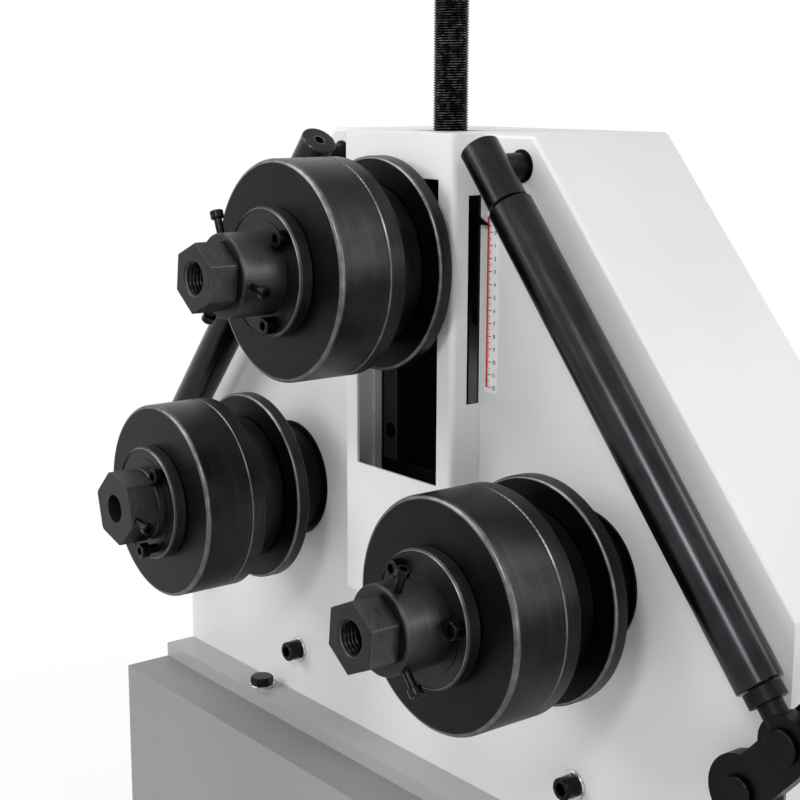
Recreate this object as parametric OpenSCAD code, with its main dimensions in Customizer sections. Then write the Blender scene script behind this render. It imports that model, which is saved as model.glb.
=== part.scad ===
// Floor-standing three-roll ring roller for bars and sections.
// Two driven lower rolls and one screw-adjusted upper roll stand out of the front
// of a house-shaped steel body. The front faces -Y, and +X is the operator's right.
// The origin lies on the floor, at the centre of the four anchor holes.

/* [Body] */
// Width of the machine body, its base plate and its cabinet
body_w = 762; // [740:2:800]
// Depth of the body from its front face to its rear face
body_d = 145; // [140:1:170]
// Height of the body above its base plate
body_h = 530; // [524:1:545]
// Width of the flat top between the two sloped shoulders
body_top_w = 249; // [240:1:262]
// Height at which the straight sides end and the shoulders start
shoulder_h = 229; // [210:1:250]
// Thickness of the front plate
face_plate_t = 8; // [8:1:10]
// Thickness of the rear plate
rear_plate_t = 16; // [12:1:20]
// Thickness of the side and shoulder plates
side_plate_t = 12; // [8:1:16]
// Thickness of the top plate that holds the spindle nut
top_plate_t = 22; // [20:1:24]

/* [Front column] */
// Width of the folded sheet column welded to the front face
column_w = 140; // [136:1:150]
// How far the column stands out of the front face
column_ahead = 29.5; // [28:0.5:36]
// Height of the column's lower end above the base plate
column_low = 142; // [130:1:150]
// Width of the window for the upper roll
window_w = 104; // [102:1:108]
// Height of the window's sill above the base plate
window_low = 255; // [250:1:258]
// How far the window's upper edge lies below the top of the body
window_head = 35; // [31:1:37]
// Thickness of the column's sheet
column_wall = 3; // [2:0.5:4]
// Depth of the pointer slot in the column's right wall
slot_d = 12.5; // [10:0.5:14]
// Height of the pointer slot
slot_h = 161.5; // [158:0.5:164]

/* [Cabinet and base plate] */
// Height of the cabinet from the floor to its deck
cabinet_h = 690; // [600:5:800]
// Depth of the cabinet from front to rear
cabinet_d = 520; // [500:5:600]
// How far the cabinet's front lies ahead of the body's front face
cabinet_ahead = 77; // [60:1:90]
// Thickness of the cabinet's sheet walls
cabinet_wall = 4; // [3:0.5:6]
// Thickness of the cabinet's deck
deck_t = 8; // [6:1:12]
// Thickness of the base plate under the body
base_plate_t = 14; // [12:1:20]
// Width of the base plate's ledge ahead of the body
base_ledge = 31; // [28:1:36]

/* [Rolls] */
// Outer diameter of the rollers
roller_d = 168; // [160:1:172]
// Height of the two lower roll shafts above the base plate
lower_shaft_h = 210; // [206:1:216]
// How far the upper shaft lies below the top of the body at rest
upper_shaft_drop = 102; // [101:1:106]
// Width of the wide front roller
wide_roller_w = 44; // [40:1:46]
// Width of the rim of the narrow roller behind it
narrow_roller_w = 14; // [12:1:18]
// Width of the rear roller
rear_roller_w = 12; // [10:1:16]
// Diameter of the boss behind the narrow rim
boss_d = 127; // [122:1:132]
// Diameter of the shafts under the rollers and in their bearings
shaft_d = 50; // [44:1:54]
// Diameter of the hub flange
flange_d = 98; // [94:1:102]
// Diameter of the hub sleeve
sleeve_d = 63; // [60:1:66]
// Width across flats of the clamping nuts
nut_flats = 46; // [41:1:50]
// Nominal thread diameter of the clamping nuts
stud_d = 24; // [20:1:27]

/* [Drive] */
// Gear module
gear_module = 5; // [5:1:5]
// Teeth of the gear on each lower shaft
gear_teeth = 44; // [42:2:46]
// Teeth of the pinion between them
pinion_teeth = 32; // [30:2:34]
// Face width of the gears
gear_face_w = 30; // [24:1:34]

/* [Spindle] */
// Diameter of the adjusting spindle
spindle_d = 28.2; // [26:0.1:30]
// Distance of the spindle's axis behind the body's front face
spindle_back = 25.5; // [25:0.5:27]
// Clear spindle length between the body's top and the handwheel
spindle_free = 154; // [150:1:190]
// Diameter of the handwheel
handwheel_d = 240; // [200:5:280]

/* [Side struts] */
// Diameter of the strut tubes
strut_tube_d = 33.8; // [32:0.2:36]
// Diameter of the strut heads
strut_head_d = 30; // [28:0.5:32]
// Sideways place of the upper strut pins
strut_pin_x = 113; // [111:0.5:115]
// How far the upper strut pins lie below the top of the body
strut_pin_drop = 23; // [21:1:26]
// How far the side arms' pivots lie inside the body's edge
arm_pivot_inset = 21.8; // [20:0.2:26]
// Height of the side arms' pivots above the base plate
arm_pivot_h = 110.1; // [106:0.1:116]
// How far a strut gets longer
strut_stroke = 19.5; // [15:0.5:20]
// Distance from the side arm's pivot to the strut's lower pin
arm_throw = 70; // [66:1:74]

/* [Hidden] */
$fn = 64;

// Clearances and overruns
running_gap = 0.05;
sliding_gap = 0.3;
cut_over = 1;

// Heights and planes that several pieces share
plate_z = cabinet_h + base_plate_t;
lower_z = plate_z + lower_shaft_h;
top_z = plate_z + body_h;
upper_z = top_z - upper_shaft_drop;
front_y = cabinet_ahead - cabinet_d / 2;
rear_y = front_y + body_d;
shaft_x = gear_module * (gear_teeth + pinion_teeth) / 2;

// Distances of the roll stack ahead of the body's front face
bearing_ahead = 38;
roller_stand_off = 41;
boss_w = 32;
rear_roller_front = roller_stand_off + rear_roller_w;
boss_front = rear_roller_front + boss_w;
narrow_front = boss_front + narrow_roller_w;
wide_front = narrow_front + wide_roller_w;
flange_t = 11.5;
flange_front = wide_front + flange_t;
sleeve_l = 36.5;
sleeve_front = flange_front + sleeve_l;
nut_l = 23.5;

// Small sizes of the rolls
edge_chamfer = 1.5;
rim_round = 3;
rear_rim_round = 2.2;
fine_chamfer = 0.8;
front_journal_d = 40;
key_w = 14;
key_h = 4.5;
shaft_shoulder_d = 64;
shaft_shoulder_w = 2;
wide_face_inset = 2;
stud_recess = 14;
turned_ring_d = 78;
turned_ring_step = 0.6;

// Hub screws
axial_screw_d = 8;
axial_head_d = 13;
axial_head_h = 8;
axial_circle_d = 79;
axial_grip = 14;
radial_screw_d = 6;
radial_head_d = 10;
radial_head_h = 6;
radial_screw_back = 7.5;
radial_screw_stand = 12;
left_screw_back = 5.5;
left_proud = 7;
upper_axial_angles = [45, 165, 285];
left_axial_angles = [49, 169];
left_proud_angles = [289];
right_axial_angles = [127, 247, 7];
upper_radial_angles = [111, -10, -132];
left_radial_angles = [-10];
right_radial_angles = [69, -49, -171];
upper_nut_turn = 23;
right_nut_turn = 24.5;
left_hex_turn = 44;
left_hex_l = 25;
left_hub_l = 30.5;

// Bearings and slide
bearing_d = 98;
bearing_lip_d = 106;
bearing_lip_t = 2;
bearing_spigot_d = 80;
seal_recess_d = 78;
slide_bearing_d = 96;
way_half = 67;
rail_inner = 46.3;
rail_lip_w = 17.4;
rail_lip_t = 4;
rail_d = 14;
rail_hole_d = 13;
stop_bar_drop = 3;
stop_bar_top = window_low - stop_bar_drop;
rail_hole_shares = [0.09, 0.4856, 0.8453];
window_back_drop = 35;
window_back_low = window_low - window_back_drop;
window_h = body_h - window_low - window_head;
slide_below = 75;
slide_above = 58;
retainer_t = 10;
retainer_w = 70;
collar_d = 32;
collar_t = 8;
spindle_neck_d = 22;
spindle_nut_w = 44;
slide_rear_gap = 0.7;
shaft_end_gap = 7;

// Pointer and scale
pointer_t = 2;
pointer_ahead = 2.6;
pointer_bottom = 33.3;
pointer_tip_x = 81;
pointer_tip_h = 0.8;
pointer_rise_share = 0.5;
pointer_foot_x = 36.5;
pointer_foot_w = 9;
scale_left = 76.1;
scale_w = 13.6;
scale_t = 0.8;
scale_h = 140;
slot_head = 46.5;
slot_low = body_h - slot_head - slot_h;
scale_rise = 9.5;
scale_low = slot_low + scale_rise;
column_edge = 5;
slot_ahead = 1.4;

// Fasteners of the frame
bolt_d = 12;
bolt_flats = 19;
bolt_head_h = 7.5;
washer_d = 24;
washer_t = 2.5;
base_bolt_x = 222;
base_bolt_inset = 13;
cap_screw_d = 12;
cap_head_d = 18;
cap_head_h = 12;
cap_screw_x = 185;
cap_screw_h = 44;
cover_screw_d = 6;
cover_head_d = 10.5;
cover_head_h = 3;

// Cabinet
foot_l = 70;
foot_w = 60;
foot_t = 12;
anchor_d = 14;
foot_inset = 60;
plinth_h = 70;
plinth_inset = 6;
cover_t = 2;
cover_margin = 50;

// Drive housing
gear_gap = 5;
gear_cover_d = 46;
gear_cover_inset = 36;
gear_cover_room = 3;
gear_cover_wall = 4;
gear_cover_flange = 18;
shaft_tail = 5;
pinion_shaft_d = 30;
motor_d = 140;
motor_l = 230;
gearbox_w = 150;
gearbox_h = 170;
gearbox_d = 152;
fin_h = 7;
fin_t = 3;
fin_count = 20;
pressure_angle = 20;
tooth_backlash_share = 0.03;
tooth_shares = [0, 0.35, 0.7, 1];

// Handwheel
rim_d = 22;
wheel_hub_d = 52;
wheel_hub_l = 40;
spoke_d = 14;
grip_d = 26;
grip_l = 85;
grip_pin_d = 10;
wheel_boss_d = 27;

// Struts and side arms
strut_pin_h = body_h - strut_pin_drop;
strut_span_x = body_w / 2 - arm_pivot_inset - strut_pin_x;
strut_span_h = strut_pin_h - arm_pivot_h;
strut_span = norm([strut_span_x, strut_span_h]);
strut_mid = sqrt(strut_span * strut_span - arm_throw * arm_throw);
strut_length = strut_mid - strut_stroke / 2;
strut_lean = atan2(strut_span_x, strut_span_h) + atan2(arm_throw, strut_mid);
strut_ahead = 31.5;
strut_pin_d = 20;
strut_pin_flange_d = 25;
strut_pin_flange_t = 1;
strut_head_back = 18;
strut_head_l = 33.5;
strut_joint_gap = 2;
strut_head_front_wall = 5;
strut_screw_d = 9;
strut_screw_sink = 1.5;
strut_rod_d = 20;
strut_rod_l = 110;
strut_rod_root = 13;
strut_wall = 4;
eye_stem_d = 18;
eye_collar_d = 27.5;
eye_d = 40;
eye_t = 16;
eye_clearance = 1;
arm_pin_d = 16;
arm_pivot_d = 24;
arm_t = 14;
arm_gap = 8;
arm_socket_d = 20;
arm_socket_reach = 108;
arm_hub_r = 26;
arm_end_r = 18;
pin_head_t = 4;

// Puts a piece on an axis that points to the front, its own zero at a distance ahead of the body
module to_front(x, z, ahead) {
    translate([x, front_y - ahead, z])
        rotate([90, 0, 0])
            children();
}

// Copies a piece to the left side of the machine
module on_left() {
    mirror([1, 0, 0])
        children();
}

// A round bar along +Z with a chamfer at each end
module turned_bar(d, length, chamfer) {
    rotate_extrude()
        polygon([
            [0, 0], [d / 2 - chamfer, 0], [d / 2, chamfer],
            [d / 2, length - chamfer], [d / 2 - chamfer, length], [0, length]
        ]);
}

// A disc along +Z with a chamfer behind and a rounded edge in front
module rimmed_disc(d, width, chamfer, round_r) {
    rotate_extrude() {
        polygon([
            [0, 0], [d / 2 - chamfer, 0], [d / 2, chamfer],
            [d / 2, width - round_r], [d / 2 - round_r, width], [0, width]
        ]);
        translate([d / 2 - round_r, width - round_r])
            circle(r = round_r);
    }
}

// A ring along +Z with chamfered outer edges
module turned_ring(outer_d, inner_d, length, chamfer) {
    rotate_extrude()
        polygon([
            [inner_d / 2, 0], [outer_d / 2 - chamfer, 0], [outer_d / 2, chamfer],
            [outer_d / 2, length - chamfer], [outer_d / 2 - chamfer, length], [inner_d / 2, length]
        ]);
}

// A six-sided prism along +Z, given across its flats
module hexagon(flats, length) {
    cylinder(d = flats / cos(30), h = length, $fn = 6);
}

// A square block along +Z
module square_block(width, length) {
    translate([-width / 2, -width / 2, 0])
        cube([width, width, length]);
}

// A socket head cap screw: its head stands on z = 0 and its shank goes down
module cap_screw(d, head_d, head_h, length) {
    difference() {
        turned_bar(head_d, head_h, head_h / 12);
        translate([0, 0, head_h * 0.45])
            hexagon(d * 0.8, head_h);
    }
    translate([0, 0, -length])
        cylinder(d = d, h = length);
}

// A low domed screw: its head stands on z = 0 and its shank goes down
module button_screw(d, head_d, head_h, length) {
    difference() {
        turned_bar(head_d, head_h, head_h / 3);
        translate([0, 0, head_h / 2])
            hexagon(d * 0.65, head_h);
    }
    translate([0, 0, -length])
        cylinder(d = d, h = length);
}

// House-shaped outline of the body, moved inwards by the thicknesses of its plates
function shoulder_len() = norm([body_w / 2 - body_top_w / 2, body_h - shoulder_h]);
function shoulder_slope() = (body_h - shoulder_h) / (body_w / 2 - body_top_w / 2);
function shoulder_drop(t) = t * shoulder_len() / (body_w / 2 - body_top_w / 2);
function shoulder_z(x, t) = body_h - (x - body_top_w / 2) * shoulder_slope() - shoulder_drop(t);
function shoulder_x(z, t) = body_top_w / 2 + (body_h - shoulder_drop(t) - z) / shoulder_slope();
function right_outline(t_side, t_top, t_low) = [
    [body_w / 2 - t_side, t_low],
    [body_w / 2 - t_side, shoulder_z(body_w / 2 - t_side, t_side)],
    [shoulder_x(body_h - t_top, t_side), body_h - t_top]
];
function house_outline(t_side, t_top, t_low) = let (right = right_outline(t_side, t_top, t_low))
    concat(right, [for (i = [len(right) - 1:-1:0]) [-right[i][0], right[i][1]]]);

module house_prism(t_side, t_top, t_low, back, depth) {
    translate([0, front_y + back + depth, plate_z])
        rotate([90, 0, 0])
            linear_extrude(depth)
                polygon(house_outline(t_side, t_top, t_low));
}

// Spur gear along +Z with involute flanks
function involute_share(a) = tan(a) - a * PI / 180;
function tooth_half(teeth, r) =
    let (base_r = gear_module * teeth / 2 * cos(pressure_angle))
    let (at = acos(min(1, base_r / r)))
    90 / teeth * (1 - tooth_backlash_share)
        + (involute_share(pressure_angle) - involute_share(at)) * 180 / PI;
function gear_points(teeth) =
    let (pitch_r = gear_module * teeth / 2)
    let (tip_r = pitch_r + gear_module)
    let (root_r = pitch_r - gear_module * 1.25)
    let (flank_r = max(root_r, pitch_r * cos(pressure_angle)))
    let (radii = [for (s = tooth_shares) flank_r + (tip_r - flank_r) * s])
    [for (k = [0:teeth - 1]) let (mid = 360 / teeth * k) each concat(
        [root_r * [cos(mid - tooth_half(teeth, flank_r)), sin(mid - tooth_half(teeth, flank_r))]],
        [for (r = radii) r * [cos(mid - tooth_half(teeth, r)), sin(mid - tooth_half(teeth, r))]],
        [for (i = [len(radii) - 1:-1:0]) let (r = radii[i])
            r * [cos(mid + tooth_half(teeth, r)), sin(mid + tooth_half(teeth, r))]],
        [root_r * [cos(mid + tooth_half(teeth, flank_r)), sin(mid + tooth_half(teeth, flank_r))]]
    )];

module spur_gear(teeth, bore_d) {
    difference() {
        linear_extrude(gear_face_w)
            polygon(gear_points(teeth));
        translate([0, 0, -cut_over])
            cylinder(d = bore_d, h = gear_face_w + 2 * cut_over);
    }
}

// Cabinet under the machine, with an anchor foot at each corner
module cabinet_feet() {
    color("#929292")
        for (sx = [-1, 1], sy = [-1, 1])
            translate([sx * (body_w / 2 - foot_inset), sy * (cabinet_d / 2 + foot_w / 2 - plinth_inset), 0])
                difference() {
                    translate([-foot_l / 2, -foot_w / 2, 0])
                        cube([foot_l, foot_w, foot_t]);
                    translate([0, sy * plinth_inset, -cut_over])
                        cylinder(d = anchor_d, h = foot_t + 2 * cut_over);
                }
}

module cabinet_box(inset, low, high) {
    translate([inset - body_w / 2, inset - cabinet_d / 2, low])
        cube([body_w - 2 * inset, cabinet_d - 2 * inset, high - low]);
}

module cabinet() {
    color("#929292") {
        difference() {
            union() {
                cabinet_box(0, plinth_h, cabinet_h);
                cabinet_box(plinth_inset, 0, plinth_h + cut_over);
            }
            cabinet_box(cabinet_wall, plinth_h + cabinet_wall, cabinet_h - deck_t);
            cabinet_box(plinth_inset + cabinet_wall, cabinet_wall, plinth_h + cabinet_wall + cut_over);
            for (p = base_bolt_places())
                translate([p[0], p[1], cabinet_h - deck_t - cut_over])
                    cylinder(d = bolt_d + 2 * running_gap, h = deck_t + 2 * cut_over);
        }
    }
}

module cabinet_rear_cover() {
    color("#8c8c8c")
        translate([cover_margin - body_w / 2, cabinet_d / 2, plinth_h + cover_margin / 2])
            cube([body_w - 2 * cover_margin, cover_t, cabinet_h - plinth_h - cover_margin]);
}

// Base plate with its four bolts
function base_bolt_places() = [
    for (sx = [-1, 1], y = [front_y - base_ledge + base_bolt_inset, rear_y + base_ledge - base_bolt_inset])
        [sx * base_bolt_x, y]
];

module base_plate() {
    color("#9c9c9c")
        difference() {
            translate([-body_w / 2, front_y - base_ledge, cabinet_h])
                cube([body_w, body_d + 2 * base_ledge, base_plate_t]);
            for (p = base_bolt_places())
                translate([p[0], p[1], cabinet_h - cut_over])
                    cylinder(d = bolt_d + 2 * running_gap, h = base_plate_t + 2 * cut_over);
        }
}

module base_plate_bolts() {
    color("#1d1d1f")
        for (p = base_bolt_places())
            translate([p[0], p[1], plate_z + washer_t]) {
                intersection() {
                    hexagon(bolt_flats, bolt_head_h);
                    turned_bar(bolt_flats / cos(30), bolt_head_h, bolt_head_h / 6);
                }
                translate([0, 0, -washer_t - base_plate_t - deck_t])
                    cylinder(d = bolt_d, h = washer_t + base_plate_t + deck_t + cut_over);
            }
}

module washer_ring() {
    turned_ring(washer_d, bolt_d + 2 * running_gap, washer_t, washer_t / 8);
}

module plain_washers() {
    color("#c9c9c9") {
        for (p = base_bolt_places())
            translate([p[0], p[1], plate_z])
                washer_ring();
        for (sx = [-1, 1])
            to_front(sx * cap_screw_x, plate_z + cap_screw_h, 0)
                washer_ring();
    }
}

module front_cap_screws() {
    color("#1d1d1f")
        for (sx = [-1, 1])
            to_front(sx * cap_screw_x, plate_z + cap_screw_h, washer_t)
                cap_screw(cap_screw_d, cap_head_d, cap_head_h, washer_t + face_plate_t);
}

// Body with its front and rear plates, shoulders and slide way
module window_behind() {
    translate([-way_half, front_y - cut_over, plate_z + window_back_low])
        cube([2 * way_half, face_plate_t + 2 * cut_over, body_h - top_plate_t - window_back_low]);
}

module slide_way_walls() {
    depth = body_d - face_plate_t / 2 - rear_plate_t / 2;
    for (sx = [-1, 1])
        translate([
            sx * (way_half + side_plate_t / 2) - side_plate_t / 2, front_y + face_plate_t / 2,
            plate_z + window_back_low - side_plate_t
        ])
            cube([side_plate_t, depth, body_h - window_back_low - top_plate_t + side_plate_t + cut_over]);
    translate([
        -way_half - cut_over, front_y + face_plate_t / 2, plate_z + window_back_low - side_plate_t
    ])
        cube([2 * way_half + 2 * cut_over, depth, side_plate_t]);
}

module body_housing() {
    color("#dcdcdc")
        difference() {
            union() {
                difference() {
                    house_prism(0, 0, 0, 0, body_d);
                    house_prism(
                        side_plate_t, top_plate_t, side_plate_t, face_plate_t,
                        body_d - face_plate_t - rear_plate_t
                    );
                    window_behind();
                }
                slide_way_walls();
            }
            for (sx = [-1, 1]) {
                to_front(sx * shaft_x, lower_z, -face_plate_t - cut_over)
                    cylinder(d = bearing_spigot_d + 2 * running_gap, h = face_plate_t + 2 * cut_over);
                to_front(sx * shaft_x, lower_z, -body_d - cut_over)
                    cylinder(d = shaft_d + 2 * running_gap, h = rear_plate_t + 2 * cut_over);
                to_front(sx * cap_screw_x, plate_z + cap_screw_h, -face_plate_t - cut_over)
                    cylinder(d = cap_screw_d + 2 * running_gap, h = face_plate_t + 2 * cut_over);
                to_front(sx * strut_pin_x, plate_z + strut_pin_h, -face_plate_t - cut_over)
                    cylinder(d = strut_pin_d + 2 * running_gap, h = face_plate_t + 2 * cut_over);
                to_front(sx * arm_pivot_x(), arm_pivot_z(), -face_plate_t - cut_over)
                    cylinder(d = arm_pin_d + 2 * running_gap, h = face_plate_t + 2 * cut_over);
            }
            translate([0, front_y + spindle_back, top_z - top_plate_t - cut_over])
                square_block(spindle_nut_w + 2 * running_gap, top_plate_t + 2 * cut_over);
        }
}

// Front column: a folded sheet box, open to the rear, with the window and the pointer slot
module rounded_front(half_w, ahead, edge, height) {
    translate([-half_w, front_y - ahead + edge, 0])
        cube([2 * half_w, ahead - edge + cut_over, height]);
    translate([-half_w + edge, front_y - ahead, 0])
        cube([2 * (half_w - edge), edge + cut_over, height]);
    for (sx = [-1, 1])
        translate([sx * (half_w - edge), front_y - ahead + edge, 0])
            cylinder(r = edge, h = height);
}

module front_column() {
    column_h = body_h - column_low;
    color("#dedede")
        difference() {
            translate([0, 0, plate_z + column_low])
                intersection() {
                    rounded_front(column_w / 2, column_ahead, column_edge, column_h);
                    translate([-column_w, front_y - column_w, 0])
                        cube([2 * column_w, column_w, column_h]);
                }
            translate([0, 0, plate_z + column_low + column_wall])
                rounded_front(
                    column_w / 2 - column_wall, column_ahead - column_wall,
                    column_edge - column_wall / 2, column_h - 2 * column_wall
                );
            translate([-window_w / 2, front_y - column_ahead - cut_over, plate_z + window_low])
                cube([window_w, column_wall + 2 * cut_over, window_h]);
            translate([0, front_y - slot_ahead - slot_d, plate_z + slot_low])
                cube([column_w, slot_d, slot_h]);
        }
}

// Bearings of the lower shafts, each with a spigot in the front plate
module lower_bearing(x) {
    color("#232325")
        to_front(x, lower_z, 0)
            difference() {
                union() {
                    turned_bar(bearing_d, bearing_ahead, edge_chamfer);
                    cylinder(d = bearing_lip_d, h = bearing_lip_t);
                    translate([0, 0, -face_plate_t])
                        cylinder(d = bearing_spigot_d, h = face_plate_t + cut_over);
                }
                translate([0, 0, -face_plate_t - cut_over])
                    cylinder(d = shaft_d + 2 * running_gap, h = bearing_ahead + face_plate_t + 2 * cut_over);
                translate([0, 0, bearing_ahead - fine_chamfer])
                    cylinder(d = seal_recess_d, h = fine_chamfer + cut_over);
            }
}

// Slide rails that keep the slide from the front, and the bar that they stand on
module guide_rail() {
    rail_top = body_h - top_plate_t;
    color("#4a4a4c")
        difference() {
            union() {
                translate([rail_inner, front_y + face_plate_t, plate_z + stop_bar_top])
                    cube([rail_lip_w, rail_d, rail_top - stop_bar_top]);
                translate([rail_inner, front_y + face_plate_t + rail_lip_t, plate_z + stop_bar_top])
                    cube([way_half - rail_inner, rail_d - rail_lip_t, rail_top - stop_bar_top]);
            }
            for (h = [for (share = rail_hole_shares) stop_bar_top + share * (body_h - stop_bar_top)])
                to_front(rail_inner + rail_lip_w / 2, plate_z + h, -face_plate_t - rail_d - cut_over)
                    cylinder(d = rail_hole_d, h = rail_d + 2 * cut_over);
        }
}

module stop_bar() {
    color("#2c2c2e")
        translate([-way_half, front_y + face_plate_t, plate_z + window_back_low])
            cube([2 * way_half, rail_d, stop_bar_top - window_back_low]);
}

module spindle_nut() {
    color("#8a6a35")
        translate([0, front_y + spindle_back, top_z - top_plate_t])
            difference() {
                square_block(spindle_nut_w, top_plate_t);
                translate([0, 0, -cut_over])
                    cylinder(d = spindle_d + 2 * running_gap, h = top_plate_t + 2 * cut_over);
            }
}

// Pins of the struts and of the side arms
module shouldered_pin(d, flange_d, flange_t, length) {
    translate([0, 0, -face_plate_t])
        cylinder(d = d, h = face_plate_t + cut_over);
    turned_bar(flange_d, flange_t, min(fine_chamfer, flange_t / 4));
    turned_bar(d, length, fine_chamfer);
}

module strut_pin() {
    color("#1d1d1f")
        to_front(strut_pin_x, plate_z + strut_pin_h, 0)
            shouldered_pin(
                strut_pin_d, strut_pin_flange_d, strut_pin_flange_t,
                strut_ahead + strut_head_d / 2 - strut_head_front_wall - sliding_gap
            );
}

module arm_pivot() {
    color("#1d1d1f")
        to_front(arm_pivot_x(), arm_pivot_z(), 0) {
            shouldered_pin(arm_pin_d, arm_pivot_d + 2 * pin_head_t, arm_gap - sliding_gap, arm_gap + arm_t + sliding_gap);
            translate([0, 0, arm_gap + arm_t + sliding_gap])
                turned_bar(arm_pivot_d, pin_head_t, fine_chamfer);
        }
}

module scale_strip() {
    color("#f2f2f2")
        translate([scale_left, front_y - scale_t, plate_z + scale_low])
            cube([scale_w, scale_t, scale_h]);
}

// Drive housing on the rear plate, with shoulders that follow the body's
function gear_cover_half() = gear_module * (gear_teeth + 2) / 2 + gear_cover_room + gear_cover_wall;
function gear_cover_outline(grow) =
    let (half_w = shaft_x + gear_cover_half() + grow)
    let (top = lower_shaft_h + gear_cover_half() + grow)
    let (low = lower_shaft_h - gear_cover_half() - grow)
    let (inset = gear_cover_inset - grow)
    let (right = [[half_w, low], [half_w, shoulder_z(half_w, inset)], [shoulder_x(top, inset), top]])
    concat(right, [for (i = [len(right) - 1:-1:0]) [-right[i][0], right[i][1]]]);

module gear_cover_prism(grow, from_body, depth) {
    translate([0, rear_y + from_body + depth, plate_z])
        rotate([90, 0, 0])
            linear_extrude(depth)
                polygon(gear_cover_outline(grow));
}

module gear_cover() {
    color("#dcdcdc")
        difference() {
            union() {
                gear_cover_prism(0, 0, gear_cover_d);
                gear_cover_prism(gear_cover_flange, 0, gear_cover_wall);
            }
            gear_cover_prism(-gear_cover_wall, -cut_over, gear_cover_d - gear_cover_wall + cut_over);
            translate([0, rear_y + gear_cover_d + cut_over, lower_z])
                rotate([90, 0, 0])
                    cylinder(d = pinion_shaft_d + 4 * sliding_gap, h = gear_cover_wall + 2 * cut_over);
            for (p = gear_cover_screw_places())
                translate([p[0], rear_y + gear_cover_wall + cut_over, p[1]])
                    rotate([90, 0, 0])
                        cylinder(d = cover_screw_d + 2 * running_gap, h = gear_cover_wall + 2 * cut_over);
        }
}

function gear_cover_screw_places() = [
    for (x = [-shaft_x, 0, shaft_x], sz = [-1, 1])
        [x, lower_z + sz * (gear_cover_half() + gear_cover_flange / 2)]
];
function cabinet_screw_places() = [
    for (sx = [-1, 1], z = [plinth_h + cover_margin, cabinet_h - cover_margin])
        [sx * (body_w / 2 - cover_margin - 2 * cover_head_d / 2), z]
];

module cover_screws() {
    color("#9a9a9a") {
        for (p = gear_cover_screw_places())
            translate([p[0], rear_y + gear_cover_wall, p[1]])
                rotate([-90, 0, 0])
                    button_screw(cover_screw_d, cover_head_d, cover_head_h, gear_cover_wall);
        for (p = cabinet_screw_places())
            translate([p[0], cabinet_d / 2 + cover_t, p[1]])
                rotate([-90, 0, 0])
                    cylinder(d = cover_head_d, h = cover_head_h);
    }
}

// Worm gearbox with its motor, hung on the gear cover
module gearmotor() {
    box_y = rear_y + gear_cover_d;
    color("#55585c")
        difference() {
            union() {
                translate([-gearbox_w / 2, box_y, lower_z - gearbox_h / 2])
                    cube([gearbox_w, gearbox_d, gearbox_h]);
                translate([-gearbox_w / 2, box_y + gearbox_d / 2, lower_z])
                    rotate([0, -90, 0]) {
                        cylinder(d = motor_d * 0.92, h = motor_l);
                        for (k = [0:fin_count - 1])
                            rotate([0, 0, 360 / fin_count * k])
                                translate([motor_d / 2 - fin_h - fin_t, -fin_t / 2, motor_l * 0.15])
                                    cube([fin_h, fin_t, motor_l * 0.6]);
                        cylinder(d = motor_d, h = motor_l * 0.1);
                        translate([0, 0, motor_l * 0.78])
                            cylinder(d = motor_d, h = motor_l * 0.22);
                    }
                translate([
                    -gearbox_w / 2 - motor_l * 0.6, box_y + gearbox_d / 2 - motor_d / 4,
                    lower_z + motor_d / 2 - 2 * fin_h
                ])
                    cube([motor_l * 0.35, motor_d / 2, motor_d * 0.35]);
            }
            translate([0, box_y + gearbox_d / 2, lower_z])
                rotate([90, 0, 0])
                    cylinder(d = pinion_shaft_d + 2 * running_gap, h = gearbox_d);
        }
}

// Slide of the upper roll
module slide_block() {
    block_low = upper_z - slide_below;
    block_h = slide_below + slide_above;
    tongue_low = upper_z - slide_bearing_d / 2;
    body_front = face_plate_t + rail_d + sliding_gap;
    color("#2b2b2d")
        difference() {
            union() {
                translate([-rail_inner + sliding_gap, front_y + face_plate_t, tongue_low])
                    cube([
                        2 * (rail_inner - sliding_gap), rail_d + 2 * sliding_gap,
                        slide_bearing_d / 2 + slide_above
                    ]);
                translate([-way_half + sliding_gap, front_y + body_front, block_low])
                    cube([
                        2 * (way_half - sliding_gap), body_d - rear_plate_t - body_front - slide_rear_gap,
                        block_h
                    ]);
            }
            to_front(0, upper_z, -body_d)
                cylinder(d = shaft_d + 2 * running_gap, h = body_d + cut_over);
            translate([0, front_y + spindle_back, block_low + block_h - collar_t - 2 * sliding_gap])
                cylinder(d = collar_d + 2 * sliding_gap, h = collar_t + 2 * sliding_gap + cut_over);
        }
}

module slide_bearing() {
    length = bearing_ahead + face_plate_t;
    color("#232325")
        to_front(0, upper_z, -face_plate_t)
            difference() {
                turned_bar(slide_bearing_d, length, edge_chamfer);
                translate([0, 0, -cut_over])
                    cylinder(d = shaft_d + 2 * running_gap, h = length + 2 * cut_over);
            }
}

module spindle_retainer() {
    color("#3a3a3c")
        for (sx = [-1, 1])
            intersection() {
                translate([
                    sx > 0 ? sliding_gap / 2 : -retainer_w, front_y, upper_z + slide_above
                ])
                    cube([retainer_w - sliding_gap / 2, spindle_back * 2, retainer_t]);
                translate([0, front_y + spindle_back, upper_z + slide_above])
                    turned_ring(2 * spindle_back - fine_chamfer, spindle_neck_d + 2 * running_gap, retainer_t, fine_chamfer);
            }
}

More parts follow.
